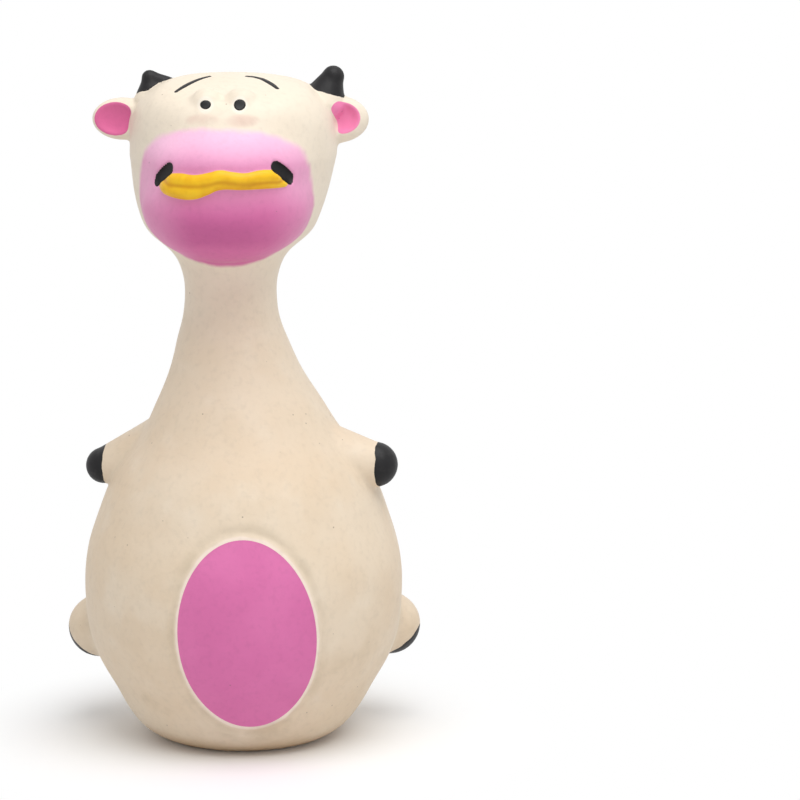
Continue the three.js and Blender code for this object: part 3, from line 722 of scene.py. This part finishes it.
def on_figure(x, y, z):
    """A place of the face in the frame of the whole figure."""
    cosine, sine = math.cos(HEAD_TURN), math.sin(HEAD_TURN)
    return Vector((NECK_LEAN + x * cosine - y * sine, x * sine + y * cosine, z))


def film_fields(paint_of, side):
    def build(point):
        skin, _ = skin_fields(point)
        paint = paint_of(in_head(point), side)
        return skin - (paint * FILM_SLOPE).least(FILM_HEIGHT), {"paint": paint}
    return build


for side, sign in SIDES.items():
    pupil_place = (sign * EYE_X, head_front(EYE_X, EYE_Z), EYE_Z)
    brow_places = [(x, y, crown_top(x, y)) for x, y in BROW_POINTS[side]]
    films = {"pupil": (pupil_paint, [pupil_place]), "brow": (brow_paint, brow_places)}
    for kind, (paint_of, places) in films.items():
        corners = np.array([on_figure(*place) for place in places])
        low, high = corners.min(axis=0) - FILM_MARGIN, corners.max(axis=0) + FILM_MARGIN
        film = grown(f"{kind}_{side}", film_fields(paint_of, side), low, high, FILM_VOXEL)
        parts[f"{kind}_{side}"], _ = cut(film, "paint")

# %% [markdown]
# ## Filling
# Loose polyester fibre fills the body and the head. It never shows, but it is what the belly presses on.
# The turned form of the figure, taken a few millimetres further in and roughened with noise, gives the
# lumpy shape that stuffing takes, with room left for the squeaker.

# %% Fibre filling
FILLING_DEPTH, FILLING_VOXEL = 3.6, 0.9
TUFT_HEIGHT, TUFT_SIZE, TUFT_DETAIL = 2.0, 5.0, 3
SQUEAKER_ROOM, SQUEAKER_TOP, SQUEAKER_ROOM_FILLET = 8.6, 18.0, 1.0
FILLINGS = {
    "body_filling": {"bottom": 5.0, "top": 59.0, "grid": ((-31, -31, 3), (31, 31, 62))},
    "head_filling": {"bottom": 96.5, "top": CROWN_Z, "grid": ((-22, -21, 94), (20, 21, 127))},
}


def filling_fields(bottom, top):
    def build(point):
        x, y, z = point.split()
        stuffed = turned_figure(point) + FILLING_DEPTH + TUFT_HEIGHT * point.noise(TUFT_SIZE, TUFT_DETAIL)
        squeaker = ((x ** 2 + y ** 2) ** 0.5 - SQUEAKER_ROOM).most(z - SQUEAKER_TOP)
        return carved(stuffed.most(bottom - z).most(z - top), squeaker, SQUEAKER_ROOM_FILLET), {}
    return build


for name, sizes in FILLINGS.items():
    stuffing = filling_fields(sizes["bottom"], sizes["top"])
    parts[name] = grown(name, stuffing, *sizes["grid"], FILLING_VOXEL)

# %% [markdown]
# ## Colours
# Photographs give colours as the eye counts them, from 0 to 255. Blender's shaders want linear light, so
# the toy's colours go through one conversion. A finish starts from the same few nodes: the shader, and the
# place on the object in millimetres, which every pattern reads. A soft piece bends when the toy is posed,
# so it carries the places of the unbent toy in an attribute, and its paint stays where it was brushed.


# %% Colours and a start for finishes
def srgb(*channels):
    linear = [((c / 255 + 0.055) / 1.055) ** 2.4 if c > 10 else c / 255 / 12.92 for c in channels]
    return (*linear, 1.0)


UNBENT = "unbent"


def start_finish(name, bends=True):
    """A new material, its shader, and the place on the object in millimetres."""
    material = bpy.data.materials.new(name)
    material.use_nodes = True
    shader = material.node_tree.nodes["Principled BSDF"]
    tree = Wire(shader.outputs[0])
    if bends:
        place = tree.node("ShaderNodeAttribute", {"attribute_name": UNBENT}, output="Vector")
    else:
        place = tree.node("ShaderNodeTexCoord", output="Object")
    return material, shader, place.times(1 / MM)


def connect(shader, **values):
    for name, value in values.items():
        shader.id_data.links.new(value.socket, shader.inputs[name.replace("_", " ")])


def patches(place, size, detail, low, high):
    """Soft patches of a size: 0 where noise from 0 to 1 is under low, 1 where it is over high."""
    return (place.noise(size, detail) + 0.5).step(low, high)


def bump(height):
    """A normal from a height in millimetres."""
    return height.node("ShaderNodeBump", None, {"Strength": 1.0, "Distance": MM, "Height": height})


print("middle grey in linear light:", round(srgb(128)[0], 2))

# %% [markdown]
# ## Latex
# Natural latex is a satin skin with a fine darker grain, a few dark specks of dust cured into it, shallow
# dents from the mould and a fine orange-peel. One function makes every colour of it, because little but the
# colour changes from paint to paint. It gets a function that says what the colour is at a place.

# %% Latex
SPECK_SPACING, SPECK_RADIUS, SPECK_CORE, SPECK_BLUR = 2.4, 0.2, 0.6, 0.002
SPECK_CHANCE = (0.4, 1.0)
SPECK_BROWN = srgb(120, 100, 84)
GRAIN = {"size": 1.2, "detail": 3, "low": 0.45, "high": 0.8}
GRAIN_SHADE = 0.94
PEEL_HEIGHT, PEEL_SIZE, PEEL_DETAIL = 0.05, 0.9, 2
DENT_HEIGHT, DENT_SIZE = 0.22, 4.5
GLOSS_CHANGE, GLOSS_SIZE, GLOSS_DETAIL = 0.18, 2.5, 3
LATEX_SPECULAR = 0.3


def specks(place):
    """1 on a few small round specks, and 0 elsewhere."""
    cells = {"Vector": place, "Scale": 1 / SPECK_SPACING}
    near = place.node("ShaderNodeTexVoronoi", None, cells)
    chance = place.node("ShaderNodeTexVoronoi", None, cells, "Color").split()[0]
    radius = SPECK_RADIUS / SPECK_SPACING * chance.step(*SPECK_CHANCE)
    edge = {0: near, 1: radius * SPECK_CORE, 2: radius + SPECK_BLUR}
    return 1 - near.node("ShaderNodeMapRange", None, edge)


def latex(name, colour_at, roughness=0.5, speckled=0.55, uneven=1.0):
    material, shader, place = start_finish(name)
    paint = colour_at(place)
    grained = patches(place, **GRAIN).mix(paint, paint.times(GRAIN_SHADE))
    colour = (specks(place) * speckled).mix(grained, SPECK_BROWN)
    peel = PEEL_HEIGHT * place.noise(PEEL_SIZE, PEEL_DETAIL)
    height = uneven * (peel + DENT_HEIGHT * place.noise(DENT_SIZE))
    gloss = roughness + GLOSS_CHANGE * place.noise(GLOSS_SIZE, GLOSS_DETAIL)
    connect(shader, Base_Color=colour, Roughness=gloss, Normal=bump(height))
    shader.inputs["Specular IOR Level"].default_value = LATEX_SPECULAR
    return material


print("ready: latex")

# %% [markdown]
# ## Bare skin
# Unpainted latex is cream: warmer in broad blotches, paler in spots, and paler towards the head. On the body
# a pale rim round the oval is a painted highlight on its raised edge, painted shade darkens the groove
# outside it, smears lie low on the body, and painted shade makes the edge of the foot tan. Each of these is a
# colour mixed in by a mask, one after the other.

# %% Bare skin
CREAM, CREAM_WARM, CREAM_PALE = srgb(230, 213, 190), srgb(226, 205, 178), srgb(243, 233, 217)
BLOTCHES = {"size": 16, "detail": 3, "low": 0.3, "high": 0.75}
PALE_SPOTS = {"size": 7, "detail": 3, "low": 0.5, "high": 0.9}
PALE_SPOT_SHIFT, PALE_SPOT_SHARE = (40, 0, 0), 0.35
PALER_UP, PALER_UP_SHARE = (60, 104), 0.6
RIM_WIDTH, RIM_WAVER, RIM_WAVER_SIZE = 0.55, 0.5, 3
RIM_EDGE = (RIM_WIDTH - 0.3, RIM_WIDTH + 0.1)
# The pale rim is a painted highlight on the raised edge of the oval.
RIM_HIGHLIGHT = srgb(244, 227, 212)
# Painted shade: the groove outside the oval is darkened in patches.
GROOVE_SHADE_PATCHES = {"size": 5, "detail": 2, "low": 0.3, "high": 0.7}
GROOVE_SHADE_REACH, GROOVE_SHADE_SHARE, GROOVE_SHADE = 2, 0.35, srgb(190, 174, 148)
SMEARS = {"size": 8, "detail": 4, "low": 0.5, "high": 0.75}
SMEAR_HEIGHTS, SMEAR_SHARE, SMEAR = (12, 32), 0.28, srgb(186, 170, 142)
# Painted shade: the foot turns tan towards its bottom edge.
FOOT_EDGE, FOOT_WAVER, FOOT_WAVER_SIZE = (0.5, 4.5), 2, 6
FOOT_SHADE_SHARE, FOOT_SHADE_TAN = 0.6, srgb(194, 156, 110)


def cream_at(place):
    blotched = patches(place, **BLOTCHES).mix(CREAM, CREAM_WARM)
    spots = patches(place.vector("ADD", PALE_SPOT_SHIFT), **PALE_SPOTS)
    mottled = (spots * PALE_SPOT_SHARE).mix(blotched, CREAM_PALE)
    return (place.split()[2].step(*PALER_UP) * PALER_UP_SHARE).mix(mottled, CREAM_PALE)


def body_at(place):
    z = place.split()[2]
    outside = RIM_WAVER * place.noise(RIM_WAVER_SIZE) - belly_oval(place)
    groove = outside.step(RIM_WIDTH, GROOVE_AWAY) * (1 - outside.step(GROOVE_AWAY, GROOVE_AWAY + GROOVE_SHADE_REACH))
    # painted shade in the groove outside the oval
    groove_shade = groove * patches(place, **GROOVE_SHADE_PATCHES)
    groove_shaded = (groove_shade * GROOVE_SHADE_SHARE).mix(cream_at(place), GROOVE_SHADE)
    # painted highlight on the raised edge of the oval
    rim_highlighted = (1 - outside.step(*RIM_EDGE)).mix(groove_shaded, RIM_HIGHLIGHT)
    smears = patches(place, **SMEARS) * (1 - z.step(*SMEAR_HEIGHTS))
    smeared = (smears * SMEAR_SHARE).mix(rim_highlighted, SMEAR)
    # painted shade at the bottom edge of the foot
    foot_shade = 1 - (z + FOOT_WAVER * place.noise(FOOT_WAVER_SIZE)).step(*FOOT_EDGE)
    return (foot_shade * FOOT_SHADE_SHARE).mix(smeared, FOOT_SHADE_TAN)


body_latex = latex("cream_body_latex", body_at)
print("finish of the bare skin:", body_latex.name)

# %% [markdown]
# ## Painted face
# The pink of the muzzle is sprayed, and its edge fades into the cream. Painted light makes it paler over the
# nose, where the paint is also paler, on the top of the chin under the lips and on the cheeks, and painted
# shade makes it deepest on the chin. The shader works out the same muzzle field that shaped the mesh, and the
# paint fades with it. White rings lie round the pupils, and a faint brown smudge, partly painted shade, lies
# where the muzzle begins under them.

# %% Face finish
PINK, PINK_SHADED, PINK_PALE_AND_LIT = srgb(212, 110, 163), srgb(198, 97, 151), srgb(252, 200, 228)
SPRAY_FROM, SPRAY_TO, SPRAY_SLANT = 0.7, 1.8, 0.05
SPRAY_WAVER, SPRAY_WAVER_SIZE, SPRAY_WAVER_DETAIL = 0.8, 3, 2
# Painted shade: the chin is a deeper pink in its middle.
CHIN_FROM, CHIN_TO, CHIN_SIDES = (96.5, 99), (101, 105), (2, 14)
# Painted light: paler pink over the nose (also paler paint there), on the top of the chin under the lips, and
# on the cheeks.
NOSE_PALER, MOUTH_PALER, MOUTH_SHARE = (108.5, 120), (103, 109), 0.25
CHEEK_MIDDLE, CHEEKS, CHEEK_LIGHT_SHARE = 1.5, (6, 16), 0.3
EYE_RING, EYE_RING_SOFT, EYE_RING_SHARE, EYE_RING_WHITE = 1.2, 0.6, 0.35, srgb(250, 246, 238)
# The brown smudge where the muzzle begins under the eyes is partly painted shade.
SMUDGE_Z, SMUDGE_X, SMUDGE_HALVES, SMUDGE_EDGE = 120.4, 3.6, (3.6, 1.4), (0.0, 1.1)
SMUDGE_PATCHES = {"size": 4, "detail": 1, "low": 0.2, "high": 0.7}
SMUDGE_AND_SHADE_SHARE, SMUDGE_AND_SHADE_BROWN = 0.4, srgb(200, 144, 134)


# Pink with painted light and shade: paler over the nose, under the lips and on the cheeks, deeper on the
# chin.
def pink_with_painted_light(x, z):
    # painted shade on the middle of the chin
    chin_shade = z.step(*CHIN_FROM) * (1 - z.step(*CHIN_TO)) * (1 - abs(x).step(*CHIN_SIDES))
    cheek_light = CHEEK_LIGHT_SHARE * abs(x - CHEEK_MIDDLE).step(*CHEEKS)
    # painted light: the pale share over the nose, under the lips and on the cheeks
    pale = z.step(*NOSE_PALER).most(MOUTH_SHARE * z.step(*MOUTH_PALER)) + cheek_light
    return pale.mix(chin_shade.mix(PINK, PINK_SHADED), PINK_PALE_AND_LIT)


def face_at(place):
    face = in_head(place)
    x, y, z = face.split()
    waver = SPRAY_WAVER * place.noise(SPRAY_WAVER_SIZE, SPRAY_WAVER_DETAIL)
    spray = 1 - (muzzle_form(face) + SPRAY_SLANT * x.least(0) + waver).step(SPRAY_FROM, SPRAY_TO)
    outward = abs(x)
    in_front = y.math("LESS_THAN", y, 0)
    across, up = (outward - SMUDGE_X) / SMUDGE_HALVES[0], (z - SMUDGE_Z) / SMUDGE_HALVES[1]
    # brown smudge, partly painted shade
    smudge_and_shade = (1 - (across ** 2 + up ** 2).step(*SMUDGE_EDGE)) * patches(place, **SMUDGE_PATCHES)
    smudged_and_shaded = (smudge_and_shade * SMUDGE_AND_SHADE_SHARE * in_front).mix(cream_at(place), SMUDGE_AND_SHADE_BROWN)
    eye = ((outward - EYE_X) ** 2 + (z - EYE_Z) ** 2) ** 0.5
    ring = (1 - eye.step(EYE_RING, EYE_RING + EYE_RING_SOFT)) * in_front
    ringed = (ring * EYE_RING_SHARE).mix(smudged_and_shaded, EYE_RING_WHITE)
    return spray.mix(ringed, pink_with_painted_light(x, z))


face_latex = latex("sprayed_face_latex", face_at)
print("finish of the face:", face_latex.name)

# %% [markdown]
# ## Brushed paint
# The other colours are brushed on. The pink of the oval and of the ears is a little uneven, and painted light
# makes the lining of the right ear paler than the left. The yellow of the lips is smoother and orange, with
# painted shade, in the groove between them, and the black is dusty.

# %% Brushed paint
YELLOW, YELLOW_DEEP, LIP_GROOVE_ORANGE_AND_SHADE = srgb(250, 202, 32), srgb(238, 178, 13), srgb(204, 132, 4)
BLACK, BLACK_DUSTY = srgb(22, 21, 23), srgb(42, 40, 40)
BELLY_PATCHES = {"size": 10, "detail": 3, "low": 0.3, "high": 0.8}
BELLY_PINK, BELLY_PINK_PALE = srgb(217, 113, 169), srgb(224, 121, 176)
# The lining is paler to the right: painted light, with uneven brushing.
LINING_SPREAD, LINING_MIDDLE, LINING_SIZE, LINING_DETAIL = 60, 0.4, 4, 2
LINING_PINK_SHADED, LINING_PINK_LIT = srgb(222, 107, 157), srgb(248, 142, 188)
LIP_BRUSHING = {"size": 3, "detail": 2, "low": 0.2, "high": 0.8}
# The orange in the groove between the lips is partly painted shade.
LIP_GROOVE_EDGE, LIP_GROOVE_SHADE_SHARE = (0.0, 0.7), 0.6
DUST = {"size": 1.6, "detail": 4, "low": 0.5, "high": 0.85}


def belly_at(place):
    return patches(place, **BELLY_PATCHES).mix(BELLY_PINK, BELLY_PINK_PALE)


def lining_at(place):
    """Pink with painted light: lighter in the right ear than in the left one, and a little uneven."""
    # painted light from the right, with uneven brushing
    lit_and_uneven = place.split()[0] / LINING_SPREAD + LINING_MIDDLE + place.noise(LINING_SIZE, LINING_DETAIL)
    return lit_and_uneven.step(0, 1).mix(LINING_PINK_SHADED, LINING_PINK_LIT)


def lips_at(place):
    face = in_head(place)
    muzzle = muzzle_form(face)
    between = abs(lip(face, muzzle, UPPER_LIP) - lip(face, muzzle, LOWER_LIP))
    # orange paint with painted shade in the groove between the lips
    groove = 1 - between.step(*LIP_GROOVE_EDGE)
    brushed = patches(place, **LIP_BRUSHING).mix(YELLOW_DEEP, YELLOW)
    return (groove * LIP_GROOVE_SHADE_SHARE).mix(brushed, LIP_GROOVE_ORANGE_AND_SHADE)


def black_at(place):
    return patches(place, **DUST).mix(BLACK, BLACK_DUSTY)


belly_latex = latex("pink_belly_latex", belly_at)
lining_latex = latex("pink_ear_latex", lining_at)
lips_latex = latex("yellow_lip_latex", lips_at, roughness=0.42, speckled=0.3, uneven=0.25)
black_latex = latex("black_latex", black_at, roughness=0.48, speckled=0.0)
print("brushed finishes:", [finish.name for finish in (belly_latex, lining_latex, lips_latex, black_latex)])

# %% [markdown]
# ## Fibre, plastic and film
# What is inside gets its own finishes: white fibre with fine strands, the waxy off-white plastic of the
# squeaker with its moulding haze, and the smoother film of the reed.

# %% Inner finishes
FIBRE_GREY, FIBRE_WHITE, FIBRE_ROUGHNESS = srgb(214, 212, 206), srgb(248, 247, 243), 0.95
WAVE_HEIGHT, WAVE_SIZE, WAVE_DETAIL = 0.5, 1.2, 4
STRAND_HEIGHT, STRAND_SIZE, STRAND_DETAIL, STRAND_STRETCH = 0.3, 0.5, 2, (1, 1, 0.2)
HAZE_CHANGE, HAZE_SIZE, HAZE_DETAIL = 0.2, 2.2, 3
MOULD_HEIGHT, MOULD_SIZE, MOULD_DETAIL = 0.02, 0.4, 2


def fibre_finish():
    material, shader, place = start_finish("polyester_fibre")
    waves = place.noise(WAVE_SIZE, WAVE_DETAIL)
    strands = place.vector("MULTIPLY", STRAND_STRETCH).noise(STRAND_SIZE, STRAND_DETAIL)
    colour = (waves + 0.5).mix(FIBRE_GREY, FIBRE_WHITE)
    connect(shader, Base_Color=colour, Normal=bump(WAVE_HEIGHT * waves + STRAND_HEIGHT * strands))
    shader.inputs["Roughness"].default_value = FIBRE_ROUGHNESS
    return material


def plastic_finish(name, pale, dark, roughness):
    material, shader, place = start_finish(name, bends=False)
    haze = place.noise(HAZE_SIZE, HAZE_DETAIL)
    connect(shader, Base_Color=(haze + 0.5).mix(dark, pale), Roughness=roughness + HAZE_CHANGE * haze)
    connect(shader, Normal=bump(MOULD_HEIGHT * place.noise(MOULD_SIZE, MOULD_DETAIL)))
    return material


fibre = fibre_finish()
squeaker_plastic = plastic_finish("squeaker_plastic", srgb(245, 243, 236), srgb(228, 225, 214), roughness=0.4)
reed_film = plastic_finish("reed_film", srgb(222, 217, 202), srgb(205, 199, 182), roughness=0.3)
for node in ("squeaker_cup", "reed_block", "reed_clip", "reed"):
    frame["nodes"][node].data.materials.clear()
    frame["nodes"][node].data.materials.append(reed_film if node == "reed" else squeaker_plastic)
print("inner finishes:", [finish.name for finish in (fibre, squeaker_plastic, reed_film)])

# %% [markdown]
# ## Objects
# Each part becomes an object with its finish. It takes the normals of the whole skin along, so that no cut
# shows as an edge, and the places of the unbent toy. It also hides the solids that it stands for: the limbs
# are one with the skin of the body, so that piece hides them too.

# %% Objects
FINISHES = {
    "body_skin": (body_latex, "latex_cream"),
    "neck_skin": (body_latex, "latex_cream"),
    "head_skin": (face_latex, "latex_cream"),
    "ear_left": (face_latex, "latex_cream"),
    "ear_right": (face_latex, "latex_cream"),
    "muzzle": (face_latex, "latex_pink"),
    "belly_patch": (belly_latex, "latex_pink"),
    "ear_lining_left": (lining_latex, "latex_pink"),
    "ear_lining_right": (lining_latex, "latex_pink"),
    "lips": (lips_latex, "latex_yellow"),
    "body_filling": (fibre, "fibre_filling"),
    "head_filling": (fibre, "fibre_filling"),
}


def make_piece(name):
    data, faces = parts[name]
    mesh = bpy.data.meshes.new(name)
    mesh.from_pydata(data["point"].tolist(), [], faces.tolist())
    mesh.shade_smooth()
    mesh.normals_split_custom_set_from_vertices(data["normal"].tolist())
    mesh.attributes.new(UNBENT, "FLOAT_VECTOR", "POINT").data.foreach_set("vector", data["point"].ravel())
    material, slot = FINISHES.get(name, (black_latex, "latex_black"))
    mesh.materials.append(material)
    stuff = "fibre" if slot == "fibre_filling" else "latex"
    piece = bpy.data.objects.new(f"{name}_{stuff}", mesh)
    bpy.context.scene.collection.objects.link(piece)
    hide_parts(name, *(LIMBS if name == "body_skin" else []))
    return piece


print("pieces with a finish other than black:", len(FINISHES))

# %% [markdown]
# ## Pieces on their bodies
# Most pieces ride stiffly on one body. The soft ones bend: the skin dents round the belly patch, so it
# blends from the body into the belly, and so does the filling behind it. The neck blends from the body into
# the neck, and the head from the neck into the head. Across the two seams both neighbours follow the same
# body, so no seam opens.

# %% Bodies
DENT_DIP = math.radians(7)
FORWARDS, UPWARDS = Vector((0, -math.cos(DENT_DIP), -math.sin(DENT_DIP))), Vector((0, 0, 1))
BLENDS = {
    "body_skin": ("body", "belly", FORWARDS * 15.4, FORWARDS * 21.4),
    "body_filling": ("body", "belly", FORWARDS * 11.2, FORWARDS * 17.2),
    "neck_skin": ("body", "neck", UPWARDS * 68, UPWARDS * 82),
    "head_skin": ("neck", "head", UPWARDS * 83, UPWARDS * 93.5),
}
BODY_OF = {node: body for body, nodes in frame["record"]["behaviour"]["bodies"].items() for node in nodes}
for name in parts:
    piece = make_piece(name)
    if name in BLENDS:
        still, moving, start, end = BLENDS[name]
        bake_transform(piece, still, moving, start * MM, end * MM)
    else:
        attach(piece, BODY_OF[name])
print("pieces:", len(parts))

# %% [markdown]
# ## Stage
# The toy stands on a white sheet in a light tent, which gives even light from all round. The world is white
# to the camera and dimmer as a light, so the toy isn't washed out. The sheet keeps the toy's shadow, and
# past its reach the sheet fades to plain white on the rays that the camera sees.

# %% World and sheet
WORLD_LIGHT = 0.64
SHEET_SIZE, SHEET_ROUGHNESS = 6.0, 0.9
SHEET_SEEN, SHEET_BOUNCE = (0.97, 0.97, 0.97, 1), (0.8, 0.8, 0.8, 1)
SHADOW_REACH, SHEET_WHITE_FROM = 0.032, 0.06


def seen_rays(shader):
    """1 on the rays by which the camera sees the stage, straight or in a gloss, and 0 on the others."""
    straight = Wire(shader.outputs[0]).node("ShaderNodeLightPath", output="Is Camera Ray")
    return straight.most(straight.node("ShaderNodeLightPath", output="Is Glossy Ray"))


def white_world():
    world = bpy.data.worlds.new("light_tent")
    world.use_nodes = True
    background = world.node_tree.nodes["Background"]
    background.inputs["Color"].default_value = (1, 1, 1, 1)
    connect(background, Strength=WORLD_LIGHT + (1 - WORLD_LIGHT) * seen_rays(background))
    bpy.context.scene.world = world


def white_sheet():
    half = SHEET_SIZE / 2
    mesh = bpy.data.meshes.new("floor")
    corners = [(-half, -half, 0), (half, -half, 0), (half, half, 0), (-half, half, 0)]
    mesh.from_pydata(corners, [], [(0, 1, 2, 3)])
    floor = bpy.data.objects.new("floor", mesh)
    bpy.context.scene.collection.objects.link(floor)
    material = bpy.data.materials.new("white_sheet")
    material.use_nodes = True
    nodes = material.node_tree.nodes
    paper = nodes["Principled BSDF"]
    paper.inputs["Roughness"].default_value = SHEET_ROUGHNESS
    seen = seen_rays(paper)
    connect(paper, Base_Color=seen.mix(SHEET_BOUNCE, SHEET_SEEN))
    away = seen.node("ShaderNodeTexCoord", output="Object").length()
    white = seen * away.step(SHADOW_REACH, SHEET_WHITE_FROM)
    layers = {0: white, 1: Wire(paper.outputs[0]), 2: white.node("ShaderNodeEmission")}
    connect(nodes["Material Output"], Surface=white.node("ShaderNodeMixShader", None, layers))
    mesh.materials.append(material)
    floor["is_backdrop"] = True


white_world()
white_sheet()
print("sheet:", SHEET_SIZE, "m wide")

# %% [markdown]
# ## Light and camera
# A broad soft light above brightens the crown and leaves the chin and the low belly darker, and a weaker
# one in front keeps the shade open. The camera stands a little above the toy and looks past its side, so
# that the toy stands left of the middle.

# %% Light and camera
VIEW_CENTRE = Vector((0, 0, 0.065))
TOP_LIGHT = {"place": (0.1, -0.2, 0.62), "size": 0.6, "power": 2.4}
FRONT_LIGHT = {"place": (0.45, -1.1, 0.3), "size": 0.8, "power": 0.6}
VIEW_WIDTH, VIEW_DISTANCE, VIEW_RISE = 0.153, 0.68, math.radians(10)
FRAMING_RIGHT = 0.0301


def soft_light(name, place, size, power):
    lamp = bpy.data.lights.new(name, "AREA")
    lamp.shape = "DISK"
    lamp.size = size
    lamp.energy = power
    holder = bpy.data.objects.new(name, lamp)
    holder.location = place
    holder.rotation_euler = (VIEW_CENTRE - Vector(place)).to_track_quat("-Z", "Y").to_euler()
    bpy.context.scene.collection.objects.link(holder)


def front_camera():
    lens = bpy.data.cameras.new("camera")
    lens.lens = lens.sensor_width * VIEW_DISTANCE / VIEW_WIDTH
    holder = bpy.data.objects.new("camera", lens)
    holder.location = VIEW_CENTRE + VIEW_DISTANCE * Vector((0, -math.cos(VIEW_RISE), math.sin(VIEW_RISE)))
    aim = VIEW_CENTRE + Vector((FRAMING_RIGHT, 0, 0))
    holder.rotation_euler = (aim - holder.location).to_track_quat("-Z", "Y").to_euler()
    bpy.context.scene.collection.objects.link(holder)
    bpy.context.scene.camera = holder


soft_light("top_light", **TOP_LIGHT)
soft_light("front_light", **FRONT_LIGHT)
front_camera()
bpy.context.scene.view_settings.view_transform = "Standard"
print("camera lens:", round(bpy.context.scene.camera.data.lens), "mm")

# %% [markdown]
# ## Sizes
# The sizes of the dressed toy and of the solids are printed side by side.

# %% Sizes
visual_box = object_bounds()
boxes = {"cad": [list(corner) for corner in cad_box], "visual": [list(corner) for corner in visual_box]}
for label, (low, high) in boxes.items():
    print(label, [round((b - a) / MM, 1) for a, b in zip(low, high)], "mm")
